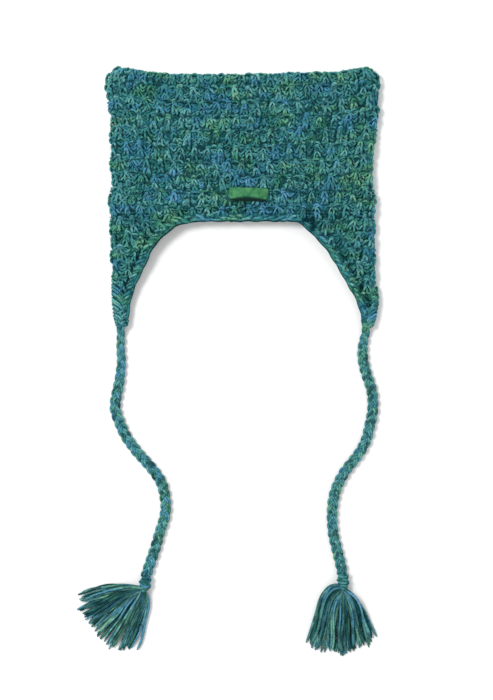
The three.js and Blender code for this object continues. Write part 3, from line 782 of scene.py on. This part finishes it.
def fishbone(sign):
    """The strands at the tip of the left flap, -1, or the right one, 1, with their count."""
    lines, ups = [], []

    def lay(x, y, z, up):
        lines.append(np.stack([x, y, np.maximum(z, BONE_YARN)], axis=1))
        ups.append(np.tile(up, (BONE_STEPS, 1)))

    fold = left_fold if sign < 0 else right_fold
    s = np.linspace(0, 1, BONE_STEPS)
    count = int((BRAID_START[sign] - tip_y) / BONE_PITCH) + 2
    for k in range(count):
        for front in (1, -1):
            for yarn in (-1, 1):
                y0 = BRAID_START[sign] + 7 * MM - k * BONE_PITCH + yarn * 1.7 * MM
                y0 = y0 + rng.normal(0, 0.5 * MM)
                wide = (22 - 1.3 * k if sign < 0 else 15) * MM
                y = np.maximum(y0 - rng.normal(15, 1) * MM * s ** 1.2, tip_y + 2.5 * MM)
                roll_in = FOLD * 0.5 * (1 - np.cos(np.clip(s * 3.2, 0, math.pi / 2)))
                x = np.interp(y, ys, fold) - sign * (roll_in + wide * 0.6 * np.clip(s - 0.12, 0, 1))
                half = fold_radius(y)
                rise = np.sin(np.clip(s * 3.2, 0.25, math.pi / 2))
                crest = half - BONE_YARN + (1.1 * np.sin(math.pi * s) - 0.6 * s) * MM
                lay(x, y, half + front * crest * rise, [sign * 0.4, 0, front])
    outer = sign * abs(float(np.interp(tip_y, ys, fold)))
    inner = outer - sign * TIP_WIDTH
    swing = np.linspace(-1, 1, BONE_STEPS)
    for k in range(TIP_TURNS):
        for level, bow in TIP_LEVELS:
            x = (outer + inner) / 2 + swing * (outer - inner) / 2 * (1 - 0.14 * k)
            y = tip_y + (1.2 + 2.3 * k) * MM + 6.5 * MM * np.abs(swing) ** 2.6
            lay(x, y, level + 0.6 * MM * np.cos(swing * 1.4) * bow, [0, -0.3, 1])
    tie_x = TIE_START["left" if sign < 0 else "right"][0] * MM
    for offset in BRIDGE_OFFSETS:
        x = tie_x + offset * (1.1 - 0.5 * s) + rng.normal(0, 0.3 * MM)
        y = tip_y + 0.5 * BRIDGE_LENGTH - BRIDGE_LENGTH * s + rng.normal(0, 0.8 * MM)
        lay(x, y, (9.2 - 4.4 * s ** 2.2) * MM, [0, 0, 1])
    return sweep(lines, BONE_YARN * (1 - 0.35 * np.abs(swing) ** 3), ups), len(lines)

# %% Make the stitched pieces
for piece, sign in (("flap_left", -1), ("flap_right", 1)):
    part, count = fishbone(sign)
    sweeps[piece].append((part, rng.uniform(0, 1, count)))

stitches = {
    piece: yarn_mesh(f"{piece}_stitches", [p for p, _ in parts], [t for _, t in parts])
    for piece, parts in sweeps.items()
}

# %% [markdown]
# ## The cloth under the stitches
# Between the strands one looks into the depth of the fabric, where other strands cross in the
# dark. Laying those too would double the yarn for little gain. Instead a shell of cloth lies just
# under the stitches, coloured with painted shade for that depth. It is made from the solids
# themselves: a copy whose outer faces are drawn in by a few millimetres, while the inner faces
# stay where the wearer's head would be.

# %% Shells under the stitches
SHELL_DEPTH = 3.0 * MM


def shell(name, node):
    """A copy of a solid whose outside is drawn in, to carry stitches on top of it."""
    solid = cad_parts[node]
    mesh = solid.data.copy()
    mesh.name = name
    mesh.materials.clear()
    solids = tree_of(node)
    lifted = []
    for v in mesh.vertices:
        start = v.co + v.normal * 0.3 * MM
        hit = solids.ray_cast(start, v.normal, 0.05)[0]
        lifted.append(v.co if hit is not None else v.co - v.normal * SHELL_DEPTH)
    for v, co in zip(mesh.vertices, lifted):
        v.co = co
    for face in mesh.polygons:
        face.use_smooth = True
    cloth_area = sum(face.area for face in mesh.polygons) / 2
    print(f"{name}: {len(mesh.polygons)} faces, {cloth_area:.4f} m2 of cloth")
    return add_object(name, mesh)


shells = {
    node: shell(node.replace("ear_", "") + "_shell", node)
    for node in ("crown", "ear_flap_left", "ear_flap_right")
}

# %% [markdown]
# ## The edging
# The brim and the inner edges of the flaps are finished with long slanting stitches, like leaves
# laid one over the other, and the last strand runs along the edge itself. The free edge is
# measured from the solid: along a rough path, rays square to it find where the cloth ends. The
# leaves are then laid in from that edge. On the straight brim they lie almost along it, in two
# rows, and on the flaps they stand up to forty degrees off it. A place that hangs past the edge of
# its own layer must not drop to the other one, so it takes the height of its neighbours.

# %% The free edge of the cloth
ROUGH_EDGE = [
    (-118, -128), (-113, -105), (-102, -78), (-88, -52), (-74, -34), (-62, -23), (-20, -21),
    (20, -21), (56, -21.5), (68, -31), (84, -53), (101, -78), (114, -100), (123, -128),
]
EDGE_SEARCH = np.linspace(-9 * MM, 9 * MM, 61)


def free_edge(node, front, count):
    """Points along the free edge of the edging, evenly spaced from the left tip to the right."""
    tree = tree_of(node)
    rough = smooth_line(np.array(ROUGH_EDGE) * MM, 150)
    along = unit(np.gradient(rough, axis=0))
    points = []
    for (x, y), (dx, dy) in zip(rough, along):
        for step in EDGE_SEARCH:
            start = Vector((x - dy * step, y + dx * step, 0.1 * front))
            hit = tree.ray_cast(start, Vector((0, 0, -front)))[0]
            if hit is not None:
                points.append((hit.x, hit.y))
                break
    points = np.array(points)
    soft = points.copy()
    soft[1:-1] = (points[:-2] + 2 * points[1:-1] + points[2:]) / 4
    return smooth_line(soft, count)

# %% How the edge is stitched
EDGE_YARN = 1.25 * MM
LEAF_STEPS = 11
STRAIGHT_BRIM = (-58 * MM, 58 * MM)
LEAVES = {
    # pitch, slant in degrees, reach, distances in from the edge, taken in turn
    "brim": (5.0 * MM, 13, 12.5 * MM, (3.2 * MM, 5.8 * MM)),
    "left flap": (4.2 * MM, 38, 10.5 * MM, (8.6 * MM, 8.6 * MM)),
    "right flap": (5.4 * MM, 26, 10.0 * MM, (6.4 * MM, 6.4 * MM)),
}
MOUTH_CORNERS = ((-53 * MM, -25 * MM, 1.6 * MM), (66 * MM, -25 * MM, 2.4 * MM))
CORNER_REACH = 7 * MM
EDGE_STEPS = 500
LIP_STEPS = 170
# Painted shade on the lip at the very edge and on the two beds under the leaves.
LIP_PAINTED_SHADE = 0.4
BED_PAINTED_SHADE = 0.45
LAYER_GAP = 2.5 * MM
BARE_LEVEL = 4.6 * MM

print("stretches of the edge:", list(LEAVES))

# %% Places along the free edge
def on_edge(edge, front, along_edge, inward, up):
    """Places from the run along the edge, the distance in from it, and the height over it. edge
    holds the runs, points and directions of the free edge."""
    run, line, way = edge
    at = np.clip(along_edge, 0, run[-1])
    x, y, wx, wy = (np.interp(at, run, v) for v in (*line.T, *way.T))
    for corner_x, corner_y, pull in MOUTH_CORNERS:
        near = np.exp(-((x - corner_x) ** 2 + (y - corner_y) ** 2) / CORNER_REACH ** 2)
        inward = inward - pull * near
    x, y = x - wy * inward, y + wx * inward
    level = np.full(len(x), np.nan)
    for k, (px, py) in enumerate(zip(x, y)):
        hit = cloth.ray_cast(Vector((px, py, 0.1 * front)), Vector((0, 0, -front)))[0]
        if hit is not None and front * (hit.z - FOLD) > LAYER_GAP:
            level[k] = hit.z
    found = np.flatnonzero(~np.isnan(level))
    if len(found):
        level = np.interp(np.arange(len(x)), found, level[found])
    else:
        level[:] = FOLD + front * BARE_LEVEL
    z = np.maximum(level + front * np.asarray(up), EDGE_YARN * 1.6)
    return np.stack([x, y, z], axis=1)

# %% Lay the slanting stitches of the edge
def lay_leaves(edge, front):
    """The slanting leaves, with a tone for each and its light from root to tip."""
    run, line, _ = edge
    s = np.linspace(0, 1, LEAF_STEPS)
    leaves, tones, lights = [], [], []
    at, count = 2 * MM, 0
    while at < run[-1] - 2 * MM:
        x, y = np.interp(at, run, line[:, 0]), np.interp(at, run, line[:, 1])
        straight = STRAIGHT_BRIM[0] < x < STRAIGHT_BRIM[1] and y > -30 * MM
        stretch = "brim" if straight else "left flap" if x < 0 else "right flap"
        pitch, slant, reach, depths = LEAVES[stretch]
        sign = 1 if x < 0 else -1
        slant = math.radians(slant + rng.normal(0, 5))
        reach = reach * rng.normal(1, 0.1)
        inner = depths[count % 2] + rng.normal(0, 0.5 * MM)
        along_edge = at + sign * (s - 0.5) * reach * math.cos(slant)
        inward = np.maximum(inner - s * reach * math.sin(slant) * 1.05, 0.9 * MM)
        up = (-2.8 + 3.2 * np.sin(math.pi * s) ** 0.8 - 0.8 * s) * MM + rng.normal(0, 0.35 * MM)
        leaves.append(on_edge(edge, front, along_edge, inward, up))
        tones.append(rng.uniform(0, 1))
        # Painted light: each leaf is lighter where it stands up in its middle, and shaded at its ends where
        # it dives under.
        lights.append(0.26 * np.sin(math.pi * np.clip(1.25 * s, 0, 1)) - 0.14)
        at += pitch * rng.normal(1, 0.12)
        count += 1
    return leaves, tones, lights

# %% Bind the edge
def edging(node, front):
    """Leaves along the free edge, a lip that binds it, and two thick strands under the leaves."""
    line = free_edge(node, front, EDGE_STEPS)
    run = np.linspace(0, line_length(line), EDGE_STEPS)
    edge = run, line, unit(np.gradient(line, axis=0))
    leaves, tones, lights = lay_leaves(edge, front)
    reach = np.linspace(0, run[-1], LIP_STEPS)
    lip_in = (1.3 + 0.35 * np.sin(reach / (2.9 * MM))) * MM
    lip = on_edge(edge, front, reach, lip_in, (-2.2 + 0.4 * np.sin(reach / (1.9 * MM) + 1)) * MM)
    beds = [
        on_edge(edge, front, reach, np.full(LIP_STEPS, inward * MM), np.full(LIP_STEPS, up * MM))
        for inward, up in ((3.6, -2.3), (6.4, -2.5))
    ]
    taper = 1 - 0.4 * np.abs(np.linspace(-1, 1, LEAF_STEPS)) ** 3
    kinds = (
        (leaves, EDGE_YARN * taper * rng.normal(1, 0.1, (len(leaves), 1)), np.array(lights)),
        ([lip], EDGE_YARN, -LIP_PAINTED_SHADE),
        (beds, EDGE_YARN * 1.5, -BED_PAINTED_SHADE),
    )
    parts = []
    for lines, radius, light in kinds:
        part = sweep(lines, radius, (0, 0, front))
        part[2][:, 2] += np.repeat((slit_gloom(np.array(lines)) + light).reshape(-1), SIDES)
        parts.append(part)
    return yarn_mesh(f"{node}_leaves", parts, [np.array(tones), [0.35], [0.2, 0.3]])


edgings = {node: edging(node, front) for node, front in (("edging_front", 1), ("edging_back", -1))}

# %% [markdown]
# ## The label
# A small green ribbon is sewn on above the brim. It is a woven band with its ends pulled down into
# the stitches, so they hang a little lower than its middle. Its lower edge stands off the stitches,
# turns under and shows a dark line there. Its face is left bare. Cloth simulation would need pins
# at the same places, so a grid with thickness is bent: bowed up in the middle, with a
# rolled edge along its long sides. It stores how near each point is to the rim and to the tuck.

# %% The ribbon label
LABEL_TURN = math.radians(-1.7)
LABEL_SIZE = (39 * MM, 10.2 * MM)
LABEL_BOW = 2.4 * MM
LABEL_SAG = 3.6 * MM
LABEL_THICK = 0.8 * MM
LABEL_TUCK = 4.2 * MM
LABEL_DROP = 1.9 * MM
LABEL_CURVE = 1.3 * MM
LABEL_GRID = (60, 21, 5)


def sheet_faces(cols, rows):
    """The faces of a grid with thickness: its two sides, and a rim between them."""
    count = cols * rows
    faces = []
    for j in range(rows - 1):
        for i in range(cols - 1):
            a = j * cols + i
            faces.append((a, a + 1, a + 1 + cols, a + cols))
            faces.append((count + a + cols, count + a + 1 + cols, count + a + 1, count + a))
    rim = [j * cols for j in range(rows - 1, 0, -1)] + list(range(cols))
    rim += [j * cols + cols - 1 for j in range(1, rows)]
    rim += [(rows - 1) * cols + i for i in range(cols - 2, 0, -1)]
    return faces + [(a, a + count, b + count, b) for a, b in zip(rim, rim[1:] + rim[:1])]


def ribbon():
    """A bent grid with thickness, over the label's solid."""
    label_low, label_high = np.array(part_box("label"))
    middle = (label_low + label_high) / 2
    cols, rows, tuck_rows = LABEL_GRID
    u = np.linspace(-1, 1, cols)
    v = np.concatenate([-np.ones(tuck_rows), np.linspace(-1, 1, rows - tuck_rows)])
    uu, vv = np.meshgrid(u, v)
    tuck = np.clip(1 - np.arange(rows) / tuck_rows, 0, 1)[:, None] * np.ones(cols)
    bow = LABEL_BOW * (1 - np.abs(uu) ** 2.4)
    sag = LABEL_SAG * (1 - np.abs(uu) ** 4) * (1 - vv) / 2
    edge = 0.22 * MM * np.exp(-((np.abs(vv) - 0.93) / 0.05) ** 2)
    rumple = 0.14 * MM * np.sin(5.1 * uu + 1.3) * np.cos(2.2 * vv)
    x = uu * LABEL_SIZE[0] / 2 * (1 - 0.03 * np.abs(vv) ** 6)
    y = vv * LABEL_SIZE[1] / 2 + LABEL_CURVE * (1 - uu ** 2) * (1.2 - vv) / 2 - LABEL_CURVE
    y = y - LABEL_DROP * uu ** 2 * (1 - uu ** 16) * (1 - vv) / 2
    y = y - LABEL_TUCK * (1 - np.abs(uu) ** 3) * tuck
    top = (bow + sag + edge + rumple) * (1 - 0.8 * tuck) + LABEL_THICK
    turned_x = x * math.cos(LABEL_TURN) - y * math.sin(LABEL_TURN) + middle[0]
    turned_y = x * math.sin(LABEL_TURN) + y * math.cos(LABEL_TURN) + middle[1]
    sides = [
        np.stack([turned_x, turned_y, label_low[2] + z], axis=-1).reshape(-1, 3)
        for z in (top, top - LABEL_THICK)
    ]
    faces = sheet_faces(cols, rows)
    mesh = bpy.data.meshes.new("label_ribbon")
    mesh.from_pydata(np.vstack(sides).tolist(), [], faces)
    for face in mesh.polygons:
        face.use_smooth = True
    near_rim = np.maximum(np.abs(uu) ** 14, np.abs(vv) ** 5 * (tuck < 0.1))
    # The tuck value marks the turned-under strip, which the material paints nearly black as shade.
    store(mesh, tuck=[np.minimum(tuck * 3, 1)] * 2, rim=[near_rim] * 2)
    print("label_ribbon:", len(faces), "faces")
    return add_object("label_ribbon", mesh)


label = ribbon()

# %% [markdown]
# ## The yarn's colours
# The yarn was dyed in short runs, so its colour changes every few stitches, and dark flecks run
# through it. Painting each strand its own colour would look like confetti. On the cloth, soft
# noise in the room decides the run of colour, stretched along the rows, and each strand's own
# shade only nudges it. In the ties and tassels the runs follow each strand instead. Fine noise
# along the strand gives the fibres, as colour and as bump. The crest value paints shade on the yarn
# where it lies deep and on its flanks, and a pale painted highlight on its top. Light also passes a
# little way through wool, which a small subsurface share shows, and a weak sheen stands for the halo
# of loose hairs.

# %% Small helpers for node trees
def fill(tree, made, values):
    """Set each input of a node to a value, or link it where the value is another node's output."""
    for key, value in values.items():
        socket = made.inputs[key]
        if isinstance(value, bpy.types.NodeSocket):
            tree.links.new(value, socket)
        elif isinstance(value, tuple) and len(value) < len(socket.default_value):
            socket.default_value = (*value, 1)
        else:
            socket.default_value = value


def node(tree, kind, values=(), **settings):
    made = tree.nodes.new("ShaderNode" + kind)
    for key, value in settings.items():
        setattr(made, key, value)
    fill(tree, made, dict(values))
    return made


def new_material(name):
    """An empty material: the material itself, its node tree and its shader."""
    material = bpy.data.materials.new(name)
    material.use_nodes = True
    tree = material.node_tree
    tree.nodes.clear()
    output = node(tree, "OutputMaterial")
    shader = node(tree, "BsdfPrincipled")
    tree.links.new(shader.outputs["BSDF"], output.inputs["Surface"])
    return material, tree, shader

# %% Colours, sums and patterns
def ramp(tree, source, stops):
    """Colours at chosen places of a number, blended between them."""
    made = node(tree, "ValToRGB", {"Fac": source})
    while len(made.color_ramp.elements) < len(stops):
        made.color_ramp.elements.new(0.5)
    for element, (place, colour) in zip(made.color_ramp.elements, stops):
        element.position = place
        element.color = (*colour, 1)
    return made.outputs["Color"]


def maths(tree, kind, a, b=0.0):
    return node(tree, "Math", {0: a, 1: b}, operation=kind).outputs[0]


def mixed(tree, blend, amount, a, b):
    """Two colours in one. Inputs 6 and 7 and output 2 are the node's colour sockets."""
    made = node(tree, "Mix", {0: amount, 6: a, 7: b}, data_type="RGBA", blend_type=blend)
    return made.outputs[2]


def noise(tree, place, scale, detail, roughness=0.5):
    values = {"Vector": place, "Scale": scale, "Detail": detail, "Roughness": roughness}
    return node(tree, "TexNoise", values).outputs["Fac"]


def stored(tree, name):
    """A number that the mesh stores for each point."""
    return node(tree, "Attribute", attribute_name=name).outputs["Fac"]


def room(tree):
    """The place in the room, in metres."""
    return node(tree, "TexCoord").outputs["Object"]


def bump(tree, height, strength, distance):
    values = {"Height": height, "Strength": strength, "Distance": distance}
    return node(tree, "Bump", values).outputs["Normal"]

# %% The dyes and the wool
NAVY = (0.003, 0.028, 0.046)
PEAT = (0.006, 0.036, 0.033)
TEAL = (0.021, 0.152, 0.184)
SEA = (0.034, 0.210, 0.196)
GREEN = (0.031, 0.196, 0.146)
LEAF = (0.038, 0.208, 0.126)
BLUE = (0.018, 0.145, 0.214)
SKY = (0.032, 0.185, 0.290)
DYE_RUNS = [
    (0.34, LEAF), (0.41, GREEN), (0.46, SEA), (0.50, TEAL),
    (0.535, SEA), (0.57, TEAL), (0.61, BLUE), (0.70, SKY),
]
FLECKS = [(0.37, (1, 1, 1)), (0.44, (0.6, 0.6, 0.6)), (0.51, (0, 0, 0))]
FIBRE_LIGHT = [(0.3, (0.5, 0.68, 0.68)), (0.5, (1.0, 1.0, 1.0)), (0.7, (1.75, 1.35, 1.35))]
# Painted light from the crest value: shade under a strand, on its flanks and where it lies deep, and a
# pale, less green highlight on its top.
PAINTED_CREST_LIGHT = [
    (0.0, (0.03, 0.12, 0.17)), (0.2, (0.16, 0.44, 0.46)),
    (0.6, (0.82, 0.88, 0.88)), (0.95, (2.0, 1.27, 1.25)),
]
WOOL = {
    "Roughness": 0.9, "Specular IOR Level": 0.2, "Specular Tint": (0.25, 1.0, 1.0),
    "Subsurface Weight": 0.15, "Subsurface Radius": (0.4, 1.0, 1.0), "Subsurface Scale": 0.0016,
    "Sheen Weight": 0.1, "Sheen Roughness": 0.6, "Sheen Tint": (0.2, 1.0, 1.0),
}

# %% The dyed yarn
def dyed_yarn(name, run_scale, fleck_scale, brightness, contrast, by_strand):
    """Procedural variegated yarn. run_scale and fleck_scale are how quickly the dye and its dark
    flecks change, per metre. contrast is how much lighter or darker single strands are. by_strand
    tells whether each strand has its own runs of dye, or shares them with its neighbours."""
    material, tree, shader = new_material(name)
    shade, along, round_it, crest = (stored(tree, k) for k in ("shade", "along", "around", "crest"))

    def times(source, factor):
        return maths(tree, "MULTIPLY", source, factor)

    if by_strand:
        place = node(tree, "CombineXYZ", {0: along, 1: times(shade, 3.7)}).outputs[0]
        stretch = (0.5, 1.0, 1.0)
    else:
        place, stretch = room(tree), (0.55, 1.0, 0.4)
    stretched = node(tree, "Mapping", {"Vector": place, "Scale": stretch}).outputs[0]
    nudge = times(maths(tree, "SUBTRACT", shade, 0.5), 0.11)
    dye = maths(tree, "ADD", noise(tree, stretched, run_scale, 3.0, 0.6), nudge)
    flecks = maths(tree, "ADD", noise(tree, place, fleck_scale, 2.0, 0.6), times(nudge, 0.9))
    dark_share = times(ramp(tree, flecks, FLECKS), 0.85)
    dark_dye = mixed(tree, "MIX", shade, NAVY, PEAT)
    colour = mixed(tree, "MIX", dark_share, ramp(tree, dye, DYE_RUNS), dark_dye)
    fibre_place = node(tree, "CombineXYZ", {
        0: times(along, 700.0), 1: times(round_it, 9.0), 2: times(shade, 40.0),
    })
    fibres = noise(tree, fibre_place.outputs[0], 1.0, 3.0, 0.7)
    scrambled = maths(tree, "FRACT", times(shade, 7.31))
    low, high = brightness * (1 - contrast), brightness * (1 + contrast)
    strand_light = [(0.0, (low * low, low, low)), (1.0, (high * high, high, high))]
    # The crest ramp paints the light and shade on each strand.
    for source, stops in ((fibres, FIBRE_LIGHT), (crest, PAINTED_CREST_LIGHT), (scrambled, strand_light)):
        colour = mixed(tree, "MULTIPLY", 1.0, colour, ramp(tree, source, stops))
    ply_turn = maths(tree, "ADD", times(along, 2000.0), times(round_it, 2 * math.pi))
    relief = maths(tree, "ADD", times(maths(tree, "SINE", ply_turn), 0.35), fibres)
    normal = bump(tree, relief, 0.6, 0.6 * MM)
    fill(tree, shader, {"Base Color": colour, "Normal": normal, **WOOL})
    print("material:", name)
    return material

# %% Three yarns
stitch_yarn = dyed_yarn("stitch_yarn", 72.0, 250.0, 1.13, 0.28, False)
tie_yarn = dyed_yarn("tie_yarn", 60.0, 130.0, 1.05, 0.38, True)
tassel_yarn = dyed_yarn("tassel_yarn", 40.0, 58.0, 0.90, 0.8, True)

# %% [markdown]
# The shell under the stitches shows only in the gaps between them and, from low down, through the
# open brim. Its colour is painted shade. A cell pattern gives it the size of single loops, lighter in
# their middle and darker between them, and a wave gives the relief the rows of the wrong side of the
# crochet.

# %% The painted shade of the cloth's depth
# Painted shade of the fabric's depth: lighter in each loop's middle, darkest between loops.
SHADED_LOOP_COLOURS = [
    (0.0, (0.034, 0.190, 0.195)), (0.32, (0.018, 0.120, 0.128)), (0.6, (0.007, 0.058, 0.064)),
]


def painted_shade_cloth():
    material, tree, shader = new_material("painted_shade_cloth")
    place = room(tree)
    row_waves = {"Vector": place, "Scale": 21.0, "Distortion": 2.5, "Detail": 2.0}
    rows = node(tree, "TexWave", row_waves, bands_direction="Y").outputs["Fac"]
    loops = node(tree, "TexVoronoi", {"Vector": place, "Scale": 270.0}).outputs["Distance"]
    relief = maths(tree, "ADD", rows, maths(tree, "MULTIPLY", loops, -1.2))
    fill(tree, shader, {
        "Base Color": ramp(tree, loops, SHADED_LOOP_COLOURS), "Normal": bump(tree, relief, 0.9, 1.5 * MM),
        "Roughness": 0.95, "Specular IOR Level": 0.1,
    })
    return material


depth = painted_shade_cloth()
print("material:", depth.name)

# %% [markdown]
# The label is a tight weave of green threads: two crossed waves make the threads, with painted
# shadow between them, noise makes the green uneven, its rim is darker with a slightly lighter band
# just inside, and the part that is tucked under is painted nearly black as shade.

# %% The label's weave
LABEL_GREENS = [(0.35, (0.024, 0.150, 0.060)), (0.65, (0.078, 0.268, 0.112))]
THREAD_SHADOW = [(0.1, (0.72, 0.72, 0.72)), (0.8, (1.15, 1.15, 1.15))]
# Darker at the rim, with a slightly lighter band just inside it.
RIM_TONES = [(0.1, (1, 1, 1)), (0.45, (1.15, 1.1, 1.1)), (0.9, (0.55, 0.66, 0.8))]
# Painted shade: the turned-under strip is painted nearly black.
TUCK_PAINTED_SHADE = (0.003, 0.016, 0.014)


def label_cloth():
    material, tree, shader = new_material("label_cloth")
    place = room(tree)
    weft = {"Vector": place, "Scale": 330.0, "Distortion": 0.6, "Detail": 1.0}
    warp = {"Vector": place, "Scale": 420.0, "Distortion": 0.4}
    threads = maths(
        tree, "ADD",
        node(tree, "TexWave", weft, bands_direction="Y").outputs["Fac"],
        node(tree, "TexWave", warp, bands_direction="X").outputs["Fac"],
    )
    colour = ramp(tree, noise(tree, place, 260.0, 3.0), LABEL_GREENS)
    half = maths(tree, "MULTIPLY", threads, 0.5)
    for source, stops in ((half, THREAD_SHADOW), (stored(tree, "rim"), RIM_TONES)):
        colour = mixed(tree, "MULTIPLY", 1.0, colour, ramp(tree, source, stops))
    colour = mixed(tree, "MIX", stored(tree, "tuck"), colour, TUCK_PAINTED_SHADE)
    fill(tree, shader, {
        "Base Color": colour, "Normal": bump(tree, threads, 0.5, 0.3 * MM), "Roughness": 0.7,
        "Specular IOR Level": 0.2, "Specular Tint": (0.4, 1.0, 0.8),
        "Sheen Weight": 0.04, "Sheen Tint": (0.4, 1.0, 0.7),
    })
    return material


ribbon_green = label_cloth()
print("material:", ribbon_green.name)

# %% [markdown]
# ## Put each piece in its place
# Every piece rides on the one body of the hat and stands for the solid that it covers.

# %% Materials and rides
def dress(piece, material, slot, *nodes):
    """Give a piece its material and its body, and hide the solids that it stands for. slot is not used."""
    piece.data.materials.append(material)
    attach(piece, "root")
    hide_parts(*nodes)


for name, piece in stitches.items():
    dress(piece, stitch_yarn, "crochet", "crown" if name.startswith("crown") else f"ear_{name}")
for solid_name, piece in shells.items():
    dress(piece, depth, "crochet", solid_name)
for solid_name, piece in edgings.items():
    dress(piece, stitch_yarn, "edging_yarn", solid_name)
dress(label, ribbon_green, "woven_label", "label")
for side in ("left", "right"):
    dress(ties[side], tie_yarn, "plaited_yarn", f"tie_{side}")
    dress(knots[side], tie_yarn, "wrapped_yarn", f"knot_{side}")
    dress(tassels[side], tassel_yarn, "tassel_yarn", f"tassel_{side}")
    path = tie_path(side, 120)

# %% [markdown]
# The crochet and the label are cloth. The crown is one band that runs round the head, closed along
# the top, so laid open it is twice as wide as the flat hat. Each flap is folded on the hat's side.
# The sizes of the cloth are read from the photo, where a pixel is a millimetre.

# %% [markdown]
# ## Table and light
# The table is a plain white sheet that reads as pure white. The photo's light is a large soft
# one from the upper left, with much light all round: only a narrow grey shadow shows below the
# brim and to the right of the folds. A pale world gives the light all round, and one big area
# lamp, fairly high, gives the direction.

# %% The table
TABLE_HALF = 6.0
TABLE_WHITES = [(0.3, (0.93, 0.93, 0.93)), (0.7, (0.96, 0.96, 0.96))]


def floor():
    """A wide white sheet."""
    mesh = bpy.data.meshes.new("table")
    corners = [(x * TABLE_HALF, y * TABLE_HALF, 0) for x, y in ((-1, -1), (1, -1), (1, 1), (-1, 1))]
    mesh.from_pydata(corners, [], [(0, 1, 2, 3)])
    material, tree, shader = new_material("table_white")
    grain = noise(tree, room(tree), 900.0, 2.0)
    fill(tree, shader, {
        "Base Color": ramp(tree, grain, TABLE_WHITES), "Roughness": 0.9, "Specular IOR Level": 0.0,
    })
    mesh.materials.append(material)
    add_object("table", mesh)

floor()

# %% The light
WORLD_STRENGTH = 0.81
LAMP_PLACE = Vector((-1.42, 0.62, 2.4))
LAMP_TARGET = Vector((0, -0.1, 0))
LAMP_SIZE = 0.8
LAMP_ENERGY = 49.0

scene = bpy.context.scene
scene.view_settings.view_transform = "Standard"
world = bpy.data.worlds.new("studio")
scene.world = world
world.use_nodes = True
fill(world.node_tree, world.node_tree.nodes["Background"], {"Color": (1, 1, 1), "Strength": WORLD_STRENGTH})

lamp_data = bpy.data.lights.new("window", "AREA")
lamp_data.shape = "SQUARE"
lamp_data.size = LAMP_SIZE
lamp_data.energy = LAMP_ENERGY
lamp = add_object("window", lamp_data)
lamp.location = LAMP_PLACE
lamp.rotation_euler = (LAMP_TARGET - LAMP_PLACE).to_track_quat("-Z", "Y").to_euler()
print("lamp's distance in m:", round((LAMP_TARGET - LAMP_PLACE).length, 2))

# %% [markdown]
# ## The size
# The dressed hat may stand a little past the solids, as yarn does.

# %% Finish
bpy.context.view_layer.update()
